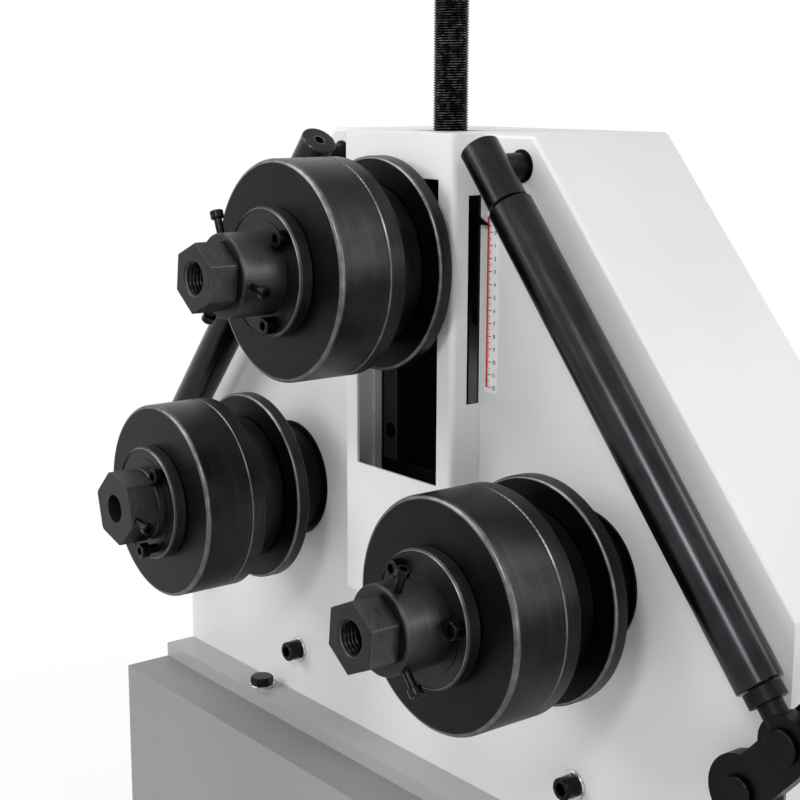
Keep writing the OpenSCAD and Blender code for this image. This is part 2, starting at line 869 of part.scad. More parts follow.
module pointer() {
    foot_top = pointer_bottom + pointer_tip_h + (pointer_tip_x - pointer_foot_x) * pointer_rise_share;
    color("#2f2f31") {
        translate([pointer_foot_x, front_y - pointer_ahead - pointer_t, upper_z + pointer_bottom])
            cube([
                pointer_foot_w, face_plate_t + pointer_ahead + pointer_t,
                pointer_foot_w
            ]);
        to_front(0, upper_z, pointer_ahead)
            linear_extrude(pointer_t)
                polygon([
                    [pointer_foot_x, pointer_bottom], [pointer_tip_x, pointer_bottom],
                    [pointer_tip_x, pointer_bottom + pointer_tip_h], [pointer_foot_x, foot_top]
                ]);
    }
}

// Spindle and handwheel
module spindle() {
    collar_z = upper_z + slide_above - collar_t - sliding_gap;
    neck_z = upper_z + slide_above;
    wheel_z = top_z + spindle_free;
    color("#222224")
        translate([0, front_y + spindle_back, 0]) {
            translate([0, 0, collar_z])
                cylinder(d = collar_d, h = collar_t);
            translate([0, 0, neck_z - cut_over])
                cylinder(d = spindle_neck_d, h = retainer_t + 3 * cut_over);
            translate([0, 0, neck_z + retainer_t + cut_over])
                turned_bar(spindle_d, wheel_z - neck_z - retainer_t - cut_over, fine_chamfer);
            translate([0, 0, wheel_z - cut_over])
                turned_bar(spindle_neck_d, wheel_hub_l + 2 * cut_over, fine_chamfer);
        }
}

module handwheel() {
    wheel_z = top_z + spindle_free;
    ring_r = handwheel_d / 2 - rim_d / 2;
    color("#1b1b1d")
        translate([0, front_y + spindle_back, wheel_z])
            difference() {
                union() {
                    turned_bar(wheel_hub_d, wheel_hub_l, edge_chamfer);
                    translate([0, 0, wheel_hub_l / 2])
                        rotate_extrude()
                            translate([ring_r, 0])
                                circle(d = rim_d);
                    for (k = [0:2])
                        rotate([0, 0, 120 * k])
                            translate([wheel_hub_d / 4, 0, wheel_hub_l / 2])
                                rotate([0, 90, 0])
                                    cylinder(d = spoke_d, h = ring_r - wheel_hub_d / 4);
                    translate([ring_r, 0, wheel_hub_l / 2])
                        cylinder(d = wheel_boss_d, h = rim_d / 2 + cut_over);
                }
                translate([0, 0, -cut_over])
                    cylinder(d = spindle_neck_d + 2 * running_gap, h = wheel_hub_l + 2 * cut_over);
                translate([ring_r, 0, 0])
                    cylinder(d = grip_pin_d + 2 * running_gap, h = wheel_hub_l);
            }
}

module handwheel_grip() {
    wheel_z = top_z + spindle_free + wheel_hub_l / 2;
    seat = rim_d / 2 + cut_over + sliding_gap;
    color("#151516")
        translate([handwheel_d / 2 - rim_d / 2, front_y + spindle_back, wheel_z]) {
            translate([0, 0, -rim_d / 2])
                cylinder(d = grip_pin_d, h = rim_d / 2 + seat + cut_over);
            translate([0, 0, seat])
                rotate_extrude()
                    polygon(grip_outline());
        }
}

function grip_outline() = concat(
    [[0, 0]],
    [for (s = [0:0.125:1]) [grip_d / 2 * (0.62 + 0.38 * sin(180 * pow(s, 0.8))), grip_l * s]],
    [[0, grip_l]]
);

// One roll: its shaft, three rollers, hub, screws and nut
module roll_shaft(x, z, rear_end) {
    front_step = wide_front - wide_face_inset;
    stud_front = sleeve_front + nut_l - stud_recess;
    color("#2a2a2c")
        to_front(x, z, -rear_end) {
            cylinder(d = shaft_d, h = rear_end + front_step);
            translate([0, 0, rear_end + roller_stand_off - shaft_shoulder_w])
                cylinder(d = shaft_shoulder_d, h = shaft_shoulder_w);
            translate([0, 0, rear_end + front_step - cut_over])
                cylinder(d = front_journal_d, h = sleeve_front - front_step - stud_recess / 2 + cut_over);
            translate([0, 0, rear_end + roller_stand_off + shaft_d / 2])
                translate([-key_w / 2, 0, 0])
                    cube([key_w, shaft_d / 2 + key_h, front_step - roller_stand_off - shaft_d]);
            translate([0, 0, rear_end + sleeve_front - stud_recess])
                turned_bar(stud_d, stud_front - sleeve_front + stud_recess, fine_chamfer);
        }
}

module left_shaft_piece() {
    front_step = wide_front - wide_face_inset;
    stud_front = flange_front + left_hub_l - stud_recess;
    color("#2a2a2c")
        to_front(-shaft_x, lower_z, -shaft_rear_end()) {
            cylinder(d = shaft_d, h = shaft_rear_end() + front_step);
            translate([0, 0, shaft_rear_end() + roller_stand_off - shaft_shoulder_w])
                cylinder(d = shaft_shoulder_d, h = shaft_shoulder_w);
            translate([0, 0, shaft_rear_end() + roller_stand_off + shaft_d / 2])
                translate([-key_w / 2, 0, 0])
                    cube([key_w, shaft_d / 2 + key_h, front_step - roller_stand_off - shaft_d]);
            translate([0, 0, shaft_rear_end() + front_step - cut_over])
                turned_bar(stud_d, stud_front - front_step + cut_over, fine_chamfer);
        }
}

function shaft_rear_end() = body_d + gear_gap + gear_face_w + shaft_tail;

module key_slot(length) {
    slot_w = key_w + 2 * running_gap;
    translate([-slot_w / 2, 0, -cut_over])
        cube([slot_w, shaft_d / 2 + key_h + sliding_gap, length + 2 * cut_over]);
}

module bore_with_slot(length) {
    translate([0, 0, -cut_over])
        cylinder(d = shaft_d + 2 * running_gap, h = length + 2 * cut_over);
    key_slot(length);
}

module wide_roller(x, z, screw_angles) {
    color("#2c2c2e")
        to_front(x, z, narrow_front)
            difference() {
                rimmed_disc(roller_d, wide_roller_w, fine_chamfer, rim_round);
                bore_with_slot(wide_roller_w);
                for (a = screw_angles)
                    rotate([0, 0, a])
                        translate([axial_circle_d / 2, 0, wide_roller_w - axial_grip])
                            cylinder(d = axial_screw_d + 2 * running_gap, h = axial_grip + cut_over);
            }
}

module narrow_roller(x, z) {
    color("#2c2c2e")
        to_front(x, z, rear_roller_front)
            difference() {
                rotate_extrude()
                    polygon([
                        [0, 0], [boss_d / 2 - edge_chamfer, 0], [boss_d / 2, edge_chamfer],
                        [boss_d / 2, boss_w], [roller_d / 2 - fine_chamfer, boss_w],
                        [roller_d / 2, boss_w + fine_chamfer],
                        [roller_d / 2, boss_w + narrow_roller_w - fine_chamfer],
                        [roller_d / 2 - fine_chamfer, boss_w + narrow_roller_w],
                        [0, boss_w + narrow_roller_w]
                    ]);
                bore_with_slot(boss_w + narrow_roller_w);
            }
}

module rear_roller(x, z) {
    color("#2c2c2e")
        to_front(x, z, roller_stand_off)
            difference() {
                rimmed_disc(roller_d, rear_roller_w, fine_chamfer, rear_rim_round);
                bore_with_slot(rear_roller_w);
            }
}

module hub_screw_holes(axial_angles, radial_angles, radial_at) {
    for (a = axial_angles)
        rotate([0, 0, a])
            translate([axial_circle_d / 2, 0, -cut_over])
                cylinder(d = axial_screw_d + 2 * running_gap, h = flange_t + 2 * cut_over);
    for (a = radial_angles)
        rotate([0, 0, a])
            translate([0, 0, radial_at])
                rotate([0, 90, 0])
                    cylinder(d = radial_screw_d + 2 * running_gap, h = sleeve_d);
}

module flanged_sleeve(length) {
    turned_bar(flange_d, flange_t - turned_ring_step, fine_chamfer);
    cylinder(d = turned_ring_d, h = flange_t);
    turned_bar(sleeve_d, length, fine_chamfer);
}

module nut_hub(x, z, axial_angles, radial_angles) {
    color("#29292b")
        to_front(x, z, wide_front)
            difference() {
                flanged_sleeve(flange_t + sleeve_l);
                translate([0, 0, -cut_over])
                    cylinder(d = front_journal_d + 2 * running_gap, h = flange_t + sleeve_l + 2 * cut_over);
                hub_screw_holes(axial_angles, radial_angles, flange_t + sleeve_l - radial_screw_back);
            }
}

module left_hub_piece() {
    hub_l = flange_t + left_hub_l;
    color("#29292b")
        to_front(-shaft_x, lower_z, wide_front)
            difference() {
                union() {
                    flanged_sleeve(hub_l - left_hex_l);
                    intersection() {
                        cylinder(d = sleeve_d, h = hub_l);
                        rotate([0, 0, left_hex_turn])
                            hexagon(sleeve_d * 0.89, hub_l);
                    }
                }
                translate([0, 0, -cut_over])
                    cylinder(d = stud_d + 2 * running_gap, h = hub_l + 2 * cut_over);
                hub_screw_holes(
                    concat(left_axial_angles, left_proud_angles), left_radial_angles, hub_l - left_screw_back
                );
            }
}

module axial_screws(x, z, angles, proud) {
    for (a = angles)
        to_front(x, z, flange_front - turned_ring_step)
            rotate([0, 0, a])
                translate([axial_circle_d / 2, 0, proud + turned_ring_step])
                    cap_screw(axial_screw_d, axial_head_d, axial_head_h, flange_t + axial_grip - 2 * cut_over - proud);
}

module radial_screws(x, z, ahead, inner_r, angles) {
    for (a = angles)
        to_front(x, z, ahead)
            rotate([0, 0, a])
                translate([sleeve_d / 2 + radial_screw_stand, 0, 0])
                    rotate([0, 90, 0])
                        cap_screw(
                            radial_screw_d, radial_head_d, radial_head_h,
                            sleeve_d / 2 + radial_screw_stand - inner_r
                        );
}

module hub_screws(x, z, axial_angles, radial_angles) {
    color("#1a1a1c") {
        axial_screws(x, z, axial_angles, 0);
        radial_screws(
            x, z, sleeve_front - radial_screw_back, front_journal_d / 2 + sliding_gap, radial_angles
        );
    }
}

module left_hub_screw_set() {
    color("#1a1a1c") {
        axial_screws(-shaft_x, lower_z, left_axial_angles, 0);
        axial_screws(-shaft_x, lower_z, left_proud_angles, left_proud);
        radial_screws(
            -shaft_x, lower_z, flange_front + left_hub_l - left_screw_back,
            stud_d / 2 + sliding_gap, left_radial_angles
        );
    }
}

module clamping_nut(x, z, turn) {
    color("#262628")
        to_front(x, z, sleeve_front)
            difference() {
                rotate([0, 0, turn])
                    hexagon(nut_flats, nut_l);
                translate([0, 0, -cut_over])
                    cylinder(d = stud_d + 2 * running_gap, h = nut_l + 2 * cut_over);
                translate([0, 0, nut_l - edge_chamfer])
                    cylinder(d1 = stud_d, d2 = stud_d + 2 * edge_chamfer + 2 * cut_over, h = edge_chamfer + cut_over);
            }
}

module lower_gear(x) {
    color("#6d6d70")
        to_front(x, lower_z, -body_d - gear_gap - gear_face_w)
            spur_gear(gear_teeth, shaft_d + 2 * running_gap);
}

module drive_pinion() {
    shaft_l = gear_cover_d - gear_gap + gearbox_d / 2 - cut_over;
    color("#6d6d70")
        to_front(0, lower_z, -body_d - gear_gap - gear_face_w) {
            rotate([0, 0, 180 / pinion_teeth])
                linear_extrude(gear_face_w)
                    polygon(gear_points(pinion_teeth));
            translate([0, 0, gear_face_w - shaft_l])
                cylinder(d = pinion_shaft_d, h = shaft_l);
        }
}

// Strut frame: its own zero is the upper pin, and +Z runs down the strut to the lower pin
module along_strut() {
    translate([strut_pin_x, front_y - strut_ahead, plate_z + strut_pin_h])
        rotate([0, 180 - strut_lean, 0])
            children();
}

module strut_head() {
    color("#2a2a2c")
        along_strut()
            difference() {
                translate([0, 0, -strut_head_back])
                    turned_bar(strut_head_d, strut_head_back + strut_head_l, fine_chamfer);
                translate([0, 0, strut_rod_root])
                    cylinder(d = strut_rod_d + 2 * running_gap, h = strut_head_l);
                rotate([90, 0, 0])
                    translate([0, 0, -strut_head_d])
                        cylinder(d = strut_pin_d + 2 * running_gap, h = 1.5 * strut_head_d - strut_head_front_wall);
                translate([0, 0, -strut_head_back - cut_over])
                    cylinder(d = strut_screw_d, h = cut_over + strut_screw_sink);
                translate([0, 0, -strut_head_back])
                    hexagon(strut_screw_d * 0.6, 2 * strut_screw_sink);
            }
}

// Threaded rod screwed into the head
module strut_rod() {
    color("#3a3a3c")
        along_strut()
            translate([0, 0, strut_rod_root + running_gap])
                turned_bar(strut_rod_d, strut_head_l + strut_rod_l - strut_rod_root, fine_chamfer);
}

// The tube turns on the head's rod and on the eye's stem
module strut_tube() {
    tube_l = strut_length - eye_d - strut_head_l - strut_joint_gap + sliding_gap;
    color("#2e2e31")
        along_strut()
            translate([0, 0, strut_head_l + strut_joint_gap])
                difference() {
                    turned_bar(strut_tube_d, tube_l, fine_chamfer);
                    translate([0, 0, -cut_over])
                        cylinder(d = strut_rod_d + 2 * running_gap, h = strut_rod_l / 2);
                    translate([0, 0, strut_rod_l / 2 - 2 * cut_over])
                        cylinder(d = strut_tube_d - 2 * strut_wall, h = tube_l - strut_rod_l);
                    translate([0, 0, tube_l / 2])
                        cylinder(d = eye_stem_d + 2 * running_gap, h = tube_l);
                }
}

module strut_eye() {
    stem_l = eye_d + strut_rod_l / 2;
    collar_l = eye_d / 4;
    color("#2a2a2c")
        along_strut()
            translate([0, 0, strut_length])
                difference() {
                    union() {
                        rotate([90, 0, 0])
                            translate([0, 0, -eye_t / 2])
                                cylinder(d = eye_d, h = eye_t);
                        translate([0, 0, -stem_l])
                            cylinder(d = eye_stem_d, h = stem_l - eye_d / 3);
                        translate([0, 0, -eye_d + sliding_gap + collar_l / 8])
                            cylinder(d = eye_collar_d, h = collar_l);
                    }
                    rotate([90, 0, 0])
                        translate([0, 0, -eye_t])
                            cylinder(d = arm_pin_d + 2 * eye_clearance, h = 2 * eye_t);
                }
}

// Side arm: pivots on the body and carries the strut's lower pin and a socket for a guide roll
function arm_pivot_x() = body_w / 2 - arm_pivot_inset;
function arm_pivot_z() = plate_z + arm_pivot_h;
function arm_pin_dx() = strut_pin_x + strut_length * sin(strut_lean) - arm_pivot_x();
function arm_pin_dz() = plate_z + strut_pin_h - strut_length * cos(strut_lean) - arm_pivot_z();
function arm_angle() = atan2(arm_pin_dz(), arm_pin_dx());

module side_arm() {
    pin_reach = norm([arm_pin_dx(), arm_pin_dz()]);
    web_w = 2 * arm_end_r - 2 * fine_chamfer;
    color("#2a2a2c")
        to_front(arm_pivot_x(), arm_pivot_z(), arm_gap)
            rotate([0, 0, arm_angle()])
                difference() {
                    union() {
                        cylinder(r = arm_hub_r, h = arm_t);
                        translate([arm_socket_reach, 0, 0])
                            cylinder(r = arm_end_r, h = arm_t);
                        translate([0, -web_w / 2, 0])
                            cube([arm_socket_reach, web_w, arm_t]);
                        translate([pin_reach, 0, 0])
                            cylinder(d = arm_pin_d, h = strut_ahead - arm_gap + eye_t / 2 + sliding_gap);
                        translate([pin_reach, 0, strut_ahead - arm_gap + eye_t / 2 + sliding_gap])
                            turned_bar(arm_pivot_d, pin_head_t, fine_chamfer);
                    }
                    translate([0, 0, -cut_over])
                        cylinder(d = arm_pin_d + 2 * running_gap, h = arm_t + 2 * cut_over);
                    translate([arm_socket_reach, 0, -cut_over])
                        cylinder(d = arm_socket_d, h = arm_t + 2 * cut_over);
                }
}

// Named pieces
module lower_bearing_left() { lower_bearing(-shaft_x); }
module lower_bearing_right() { lower_bearing(shaft_x); }
module guide_rail_left() { on_left() guide_rail(); }
module guide_rail_right() { guide_rail(); }
module strut_pins() { strut_pin(); on_left() strut_pin(); }
module strut_rods() { strut_rod(); on_left() strut_rod(); }
module arm_pivot_pins() { arm_pivot(); on_left() arm_pivot(); }
module upper_shaft() { roll_shaft(0, upper_z, body_d - rear_plate_t - shaft_end_gap); }
module upper_wide_roller() { wide_roller(0, upper_z, upper_axial_angles); }
module upper_narrow_roller() { narrow_roller(0, upper_z); }
module upper_rear_roller() { rear_roller(0, upper_z); }
module upper_hub() { nut_hub(0, upper_z, upper_axial_angles, upper_radial_angles); }
module upper_hub_screws() { hub_screws(0, upper_z, upper_axial_angles, upper_radial_angles); }
module upper_nut() { clamping_nut(0, upper_z, upper_nut_turn); }
module left_shaft() { left_shaft_piece(); }
module left_wide_roller() { wide_roller(-shaft_x, lower_z, concat(left_axial_angles, left_proud_angles)); }
module left_narrow_roller() { narrow_roller(-shaft_x, lower_z); }
module left_rear_roller() { rear_roller(-shaft_x, lower_z); }
module left_hub() { left_hub_piece(); }
module left_hub_screws() { left_hub_screw_set(); }
module left_gear() { lower_gear(-shaft_x); }
module right_shaft() { roll_shaft(shaft_x, lower_z, shaft_rear_end()); }
module right_wide_roller() { wide_roller(shaft_x, lower_z, right_axial_angles); }
module right_narrow_roller() { narrow_roller(shaft_x, lower_z); }
module right_rear_roller() { rear_roller(shaft_x, lower_z); }
module right_hub() { nut_hub(shaft_x, lower_z, right_axial_angles, right_radial_angles); }
module right_hub_screws() { hub_screws(shaft_x, lower_z, right_axial_angles, right_radial_angles); }
module right_nut() { clamping_nut(shaft_x, lower_z, right_nut_turn); }
module right_gear() { lower_gear(shaft_x); }
module left_strut_head() { on_left() strut_head(); }
module left_strut_tube() { on_left() strut_tube(); }
module left_strut_eye() { on_left() strut_eye(); }
module left_side_arm() { on_left() side_arm(); }
module right_strut_head() { strut_head(); }
module right_strut_tube() { strut_tube(); }
module right_strut_eye() { strut_eye(); }
module right_side_arm() { side_arm(); }

cabinet();
cabinet_feet();
cabinet_rear_cover();
cover_screws();
base_plate();
base_plate_bolts();
plain_washers();
body_housing();
front_column();
front_cap_screws();
lower_bearing_left();
lower_bearing_right();
guide_rail_left();
guide_rail_right();
stop_bar();
spindle_nut();
strut_pins();
strut_rods();
arm_pivot_pins();
scale_strip();
gear_cover();
gearmotor();
slide_block();
slide_bearing();
pointer();
spindle_retainer();
spindle();
handwheel();
handwheel_grip();
upper_shaft();
upper_wide_roller();
upper_narrow_roller();
upper_rear_roller();
upper_hub();
upper_hub_screws();
upper_nut();
left_shaft();
left_wide_roller();
left_narrow_roller();
left_rear_roller();
left_hub();
left_hub_screws();
left_gear();
right_shaft();
right_wide_roller();
right_narrow_roller();
right_rear_roller();
right_hub();
right_hub_screws();
right_nut();
right_gear();
drive_pinion();
left_strut_head();
left_strut_tube();
left_strut_eye();
left_side_arm();
right_strut_head();
right_strut_tube();
right_strut_eye();
right_side_arm();
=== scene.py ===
# %% [markdown]
# # A ring roller, dressed for the studio
# A ring roller bends bars and sections between three turned steel rolls. The imported model already
# holds every piece at its real size, so this lesson adds what a solid model cannot carry: paint,
# turned and blackened steel, edges bright from wear and painted highlight, cut threads, a printed
# scale and a weld bead.

# %% Load the imported model
import math
import random
import bmesh
import bpy
from mathutils import Matrix, Vector


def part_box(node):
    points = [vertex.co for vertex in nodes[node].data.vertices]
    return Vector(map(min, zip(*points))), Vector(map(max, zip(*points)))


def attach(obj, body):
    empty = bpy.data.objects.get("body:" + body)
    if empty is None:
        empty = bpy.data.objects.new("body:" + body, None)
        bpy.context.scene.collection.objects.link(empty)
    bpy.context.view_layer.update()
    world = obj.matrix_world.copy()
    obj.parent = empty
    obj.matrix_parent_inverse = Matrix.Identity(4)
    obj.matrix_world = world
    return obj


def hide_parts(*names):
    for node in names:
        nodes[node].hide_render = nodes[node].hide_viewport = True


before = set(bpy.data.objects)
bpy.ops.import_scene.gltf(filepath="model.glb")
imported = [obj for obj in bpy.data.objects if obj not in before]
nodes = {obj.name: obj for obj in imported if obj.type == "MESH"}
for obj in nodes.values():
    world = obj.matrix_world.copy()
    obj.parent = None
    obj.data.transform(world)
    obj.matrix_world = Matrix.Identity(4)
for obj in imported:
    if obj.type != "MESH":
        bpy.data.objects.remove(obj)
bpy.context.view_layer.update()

scene = bpy.context.scene

# %% [markdown]
# ## Places that several pieces share
# The machine stands in metres with +Z up and its front towards -Y. The front plate's face, the
# three roll axes and the top of the body place almost everything, so they are read once, from the
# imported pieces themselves.

# %% Shared places
MM = 0.001
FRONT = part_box("body_housing")[0].y
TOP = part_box("body_housing")[1].z


def roll_axis(side):
    """A point on a roll's axis, which runs along Y through the middle of its rear roller."""
    low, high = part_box(side + "_rear_roller")
    centre = (low + high) / 2
    return Vector((centre.x, 0, centre.z))


ROLLS = {side: roll_axis(side) for side in ("upper", "left", "right")}
print("front face at", round(FRONT, 4), "and top at", round(TOP, 4))
print("roll axes:", {side: tuple(round(c, 4) for c in axis) for side, axis in ROLLS.items()})

# %% [markdown]
# ## Camera
# A long lens keeps a machine's verticals nearly parallel. This one looks a little down from the
# front right, as the picture that the model was measured on does. The matrix is built from the
# view direction, so each number in it is an angle or a place that can be read.

# %% Camera
AZIMUTH = math.radians(51.977)
PITCH = math.radians(11.323)
ROLL = math.radians(0.219)
FOCAL_LENGTH = 70.31
SENSOR_WIDTH = 36
CAMERA_PLACE = Vector((0.9756, FRONT - 0.78769, ROLLS["left"].z + 0.35389))
ahead = Vector((
    -math.sin(AZIMUTH) * math.cos(PITCH),
    math.cos(AZIMUTH) * math.cos(PITCH),
    -math.sin(PITCH),
))
level = Vector((math.cos(AZIMUTH), math.sin(AZIMUTH), 0))
above = level.cross(ahead)
right = level * math.cos(ROLL) + above * math.sin(ROLL)
up = above * math.cos(ROLL) - level * math.sin(ROLL)
camera = bpy.data.objects.new("camera", bpy.data.cameras.new("camera"))
camera.data.lens = FOCAL_LENGTH
camera.data.sensor_width = SENSOR_WIDTH
view = Matrix((right, up, -ahead)).transposed().to_4x4()
view.translation = CAMERA_PLACE
camera.matrix_world = view
scene.collection.objects.link(camera)
scene.camera = camera
scene.view_settings.view_transform = "Standard"
print("camera at", [round(c, 3) for c in CAMERA_PLACE])

# %% [markdown]
# ## Colours and nodes
# Colours are picked as they look on a screen, so one function turns an sRGB hex value to the
# linear numbers that a shader works in. One more function adds any shader node with its settings
# and links. The rest name what the materials below have in common, such as a noise of one size or
# a ramp between two tones, which keeps each material short enough to read as a recipe.

# %% Colour helpers
CHANNELS = (1, 3, 5)


def linear(hex_colour):
    """The linear value of an sRGB hex colour, with full opacity."""
    parts = [int(hex_colour[i:i + 2], 16) / 255 for i in CHANNELS]
    return tuple(c / 12.92 if c <= 0.04045 else ((c + 0.055) / 1.055) ** 2.4 for c in parts) + (1.0,)


def darker(hex_colour, steps):
    """The same hex colour with each channel some steps of 255 darker."""
    return "#%02x%02x%02x" % tuple(max(0, int(hex_colour[i:i + 2], 16) - steps) for i in CHANNELS)


WHITE = linear("#ffffff")
print("white powder coat in linear light:", [round(c, 3) for c in linear("#dedfe1")[:3]])

# %% Node helpers


def add(tree, kind, inputs=None, **settings):
    """Adds a node. An input is given by name or number, as a value or as another node's output."""
    made = tree.nodes.new("ShaderNode" + kind)
    for key, value in settings.items():
        setattr(made, key, value)
    for key, value in (inputs or {}).items():
        if isinstance(value, bpy.types.NodeSocket):
            tree.links.new(value, made.inputs[key])
        else:
            made.inputs[key].default_value = value
    return made


def maths(tree, operation, *values):
    """The result of one Math node."""
    return add(tree, "Math", dict(enumerate(values)), operation=operation).outputs[0]


def remap(tree, value, start, end, low=0.0, high=1.0):
    """A value that runs from start to end, laid out anew from low to high."""
    return add(tree, "MapRange", {0: value, 1: start, 2: end, 3: low, 4: high}).outputs[0]


def noise(tree, place, size, detail):
    """A noise whose lumps are about one size across."""
    return add(tree, "TexNoise", {"Vector": place, "Scale": 1 / size, "Detail": detail}).outputs["Fac"]


def blend(tree, share, first, second):
    """Two noises in one, with the given share of the second."""
    return add(tree, "Mix", {0: share, 2: first, 3: second}, data_type="FLOAT").outputs[0]


def ramp(tree, factor, tones, margin=0.3):
    """A ramp from a dark to a pale hex tone, which starts and ends a margin inside 0 and 1."""
    made = add(tree, "ValToRGB", {0: factor})
    for element, place, tone in zip(made.color_ramp.elements, (margin, 1 - margin), tones):
        element.position = place
        element.color = linear(tone)
    return made.outputs[0]


def relief(tree, height, strength, depth):
    """Fine relief from a height between 0 and 1, some depth in metres."""
    return add(tree, "Bump", {"Height": height, "Strength": strength, "Distance": depth}).outputs[0]


def distance(tree, *offsets):
    """The length of a vector that is given by its parts."""
    vector = add(tree, "CombineXYZ", dict(enumerate(offsets))).outputs[0]
    return add(tree, "VectorMath", {0: vector}, operation="LENGTH").outputs["Value"]


def start_material(name):
    """A new material, its node tree and its surface shader."""
    material = bpy.data.materials.new(name)
    material.use_nodes = True
    tree = material.node_tree
    return material, tree, tree.nodes["Principled BSDF"]


def dress(tree, surface, metallic, tone, gloss, bumps=None):
    """Gives a surface its colour and roughness, and its relief where there is one."""
    surface.inputs["Metallic"].default_value = metallic
    tree.links.new(tone, surface.inputs["Base Color"])
    tree.links.new(gloss, surface.inputs["Roughness"])
    if bumps:
        tree.links.new(bumps, surface.inputs["Normal"])


print("a shade darker than the white coat:", darker("#dedfe1", 5))

# %% [markdown]
# ## Studio
# Dark steel shows what stands around it, so the room is part of the finish. A white world gives the
# plain background, and is a good deal dimmer for the light that falls on the paint. What tells the
# two apart is the kind of ray: one that the camera sees, straight or in a mirror, gets the white.

# %% World
ROOM_LIGHT = 0.36


def seen_by_camera(tree):
    """1 for a ray from the camera, and for one that went through glass or off a glossy surface."""
    path = add(tree, "LightPath").outputs
    direct = maths(tree, "MAXIMUM", path["Is Camera Ray"], path["Is Transmission Ray"])
    return maths(tree, "MAXIMUM", direct, path["Is Glossy Ray"])


world = bpy.data.worlds.new("white studio")
scene.world = world
world.use_nodes = True
sky = world.node_tree
sky.nodes.clear()
room = add(sky, "Background", {"Color": WHITE, "Strength": ROOM_LIGHT})
plain = add(sky, "Background", {"Color": WHITE, "Strength": 1.0})
mixed = add(sky, "MixShader", {0: seen_by_camera(sky), 1: room.outputs[0], 2: plain.outputs[0]})
add(sky, "OutputWorld", {0: mixed.outputs[0]})
print("world:", world.name, "with a light of", ROOM_LIGHT)

# %% [markdown]
# ## Floor
# A photographer rolls out white paper and lights it until its far end is lost in the background.
# The floor here does the same with less effort: it glows white to the camera far away, so that no
# horizon is seen, and glows a little less near the machine, which keeps the machine's own shadow.

# %% Floor
FLOOR_HALF = 30
FLOOR_DROP = 0.5 * MM
SHADOW_NEAR = 0.9
SHADOW_FAR = 2.3
NEAR_GLOW = 0.8
PAPER_ROUGHNESS = 0.9
corners = [(x * FLOOR_HALF, y * FLOOR_HALF, 0) for x, y in ((-1, -1), (1, -1), (1, 1), (-1, 1))]
floor_mesh = bpy.data.meshes.new("floor")
floor_mesh.from_pydata(corners, [], [(0, 1, 2, 3)])
floor = bpy.data.objects.new("floor", floor_mesh)
scene.collection.objects.link(floor)
floor.location.z = -FLOOR_DROP
paper, tree, surface = start_material("seamless paper floor")
surface.inputs["Base Color"].default_value = linear("#f4f4f4")
surface.inputs["Roughness"].default_value = PAPER_ROUGHNESS
glow = add(tree, "Emission", {"Color": WHITE, "Strength": 1.0})
place = add(tree, "TexCoord").outputs["Object"]
away = add(tree, "VectorMath", {0: place}, operation="LENGTH").outputs["Value"]
fade = remap(tree, away, SHADOW_NEAR, SHADOW_FAR, NEAR_GLOW, 1.0)
share = maths(tree, "MULTIPLY", seen_by_camera(tree), fade)
mixed = add(tree, "MixShader", {0: share, 1: surface.outputs[0], 2: glow.outputs[0]})
tree.links.new(mixed.outputs[0], tree.nodes["Material Output"].inputs["Surface"])
floor_mesh.materials.append(paper)
print("stage:", floor.name)

# %% [markdown]
# ## Lamps
# Six soft lamps model the shapes. A key from the left front throws the shadows of the rolls to the
# lower right, and one high in front lights the upper faces. Two behind draw the broad highlight on
# each roll's side and on each hub. The two on the right open the shadows, and put a line of light
# on the ground corners of the body and on the strut's tube. A big lamp close by gives a soft edge,
# and a small one a sharper line, so each has its own size.

# %% Lamps


def soft_lamp(name, place, aim, size, watts):
    """A flat lamp at a place, turned towards another; places and sizes are in metres."""
    data = bpy.data.lights.new(name, "AREA")
    data.shape = "RECTANGLE"
    data.size, data.size_y = size
    data.energy = watts
    lamp = bpy.data.objects.new(name, data)
    lamp.location = place
    lamp.rotation_euler = (Vector(aim) - Vector(place)).to_track_quat("-Z", "Y").to_euler()
    scene.collection.objects.link(lamp)


soft_lamp("key from the left front", (-1.7, -2.6, 2.6), (0, -0.2, 1.0), (1.9, 1.9), 62)
soft_lamp("high in front", (-0.6, -1.6, 3.2), (0, -0.3, 1.0), (1.0, 1.0), 14)
soft_lamp("front on the right", (1.3, -2.1, 2.5), (0.2, -0.2, 1.1), (0.5, 0.5), 22)
soft_lamp("low on the right", (2.6, -1.3, 1.0), (0, -0.2, 0.9), (1.6, 1.0), 11)
soft_lamp("behind on the right", (2.4, 0.7, 1.8), (0.1, -0.4, 1.0), (0.5, 0.5), 13)
soft_lamp("above and behind", (1.2, 1.3, 2.3), (0.1, -0.4, 1.0), (0.8, 0.4), 7)

# %% [markdown]
# ## Rounded edges
# Nothing made of steel plate has a perfectly sharp edge: bent sheet keeps the radius of the
# press brake, a ground weld is rounded by hand, and a sawn plate is deburred with a file. The round
# is what catches the light, so each plate gets its own. A bevel modifier could do it with one width
# for every edge. Here a copy of the piece is beveled in mesh code instead, because the long corners
# of the welded body are rounded far more than the rims of its holes. The new faces go to a second
# material slot, so that an edge can be worn bright where hands and spanners rub it, and can carry a
# painted highlight where the round catches the light.

# %% Normals of a rounded piece
BLEND_ANGLE = math.radians(46)


def even_normals(mesh):
    """Flat faces stay flat to the eye, and each round blends from one face into the next."""
    touching = [[] for _ in mesh.vertices]
    for face in mesh.polygons:
        for corner in face.vertices:
            touching[corner].append(face.index)
    weights = [(face.normal.copy(), face.area) for face in mesh.polygons]
    bend = math.cos(BLEND_ANGLE)
    normals = [None] * len(mesh.loops)
    for face in mesh.polygons:
        for loop, corner in zip(face.loop_indices, face.vertices):
            total = Vector()
            for other in touching[corner]:
                normal, area = weights[other]
                if normal.dot(face.normal) > bend:
                    total += normal * area
            normals[loop] = total.normalized()
    mesh.normals_split_custom_set(normals)


print("faces blend up to", round(math.degrees(BLEND_ANGLE)), "degrees apart")
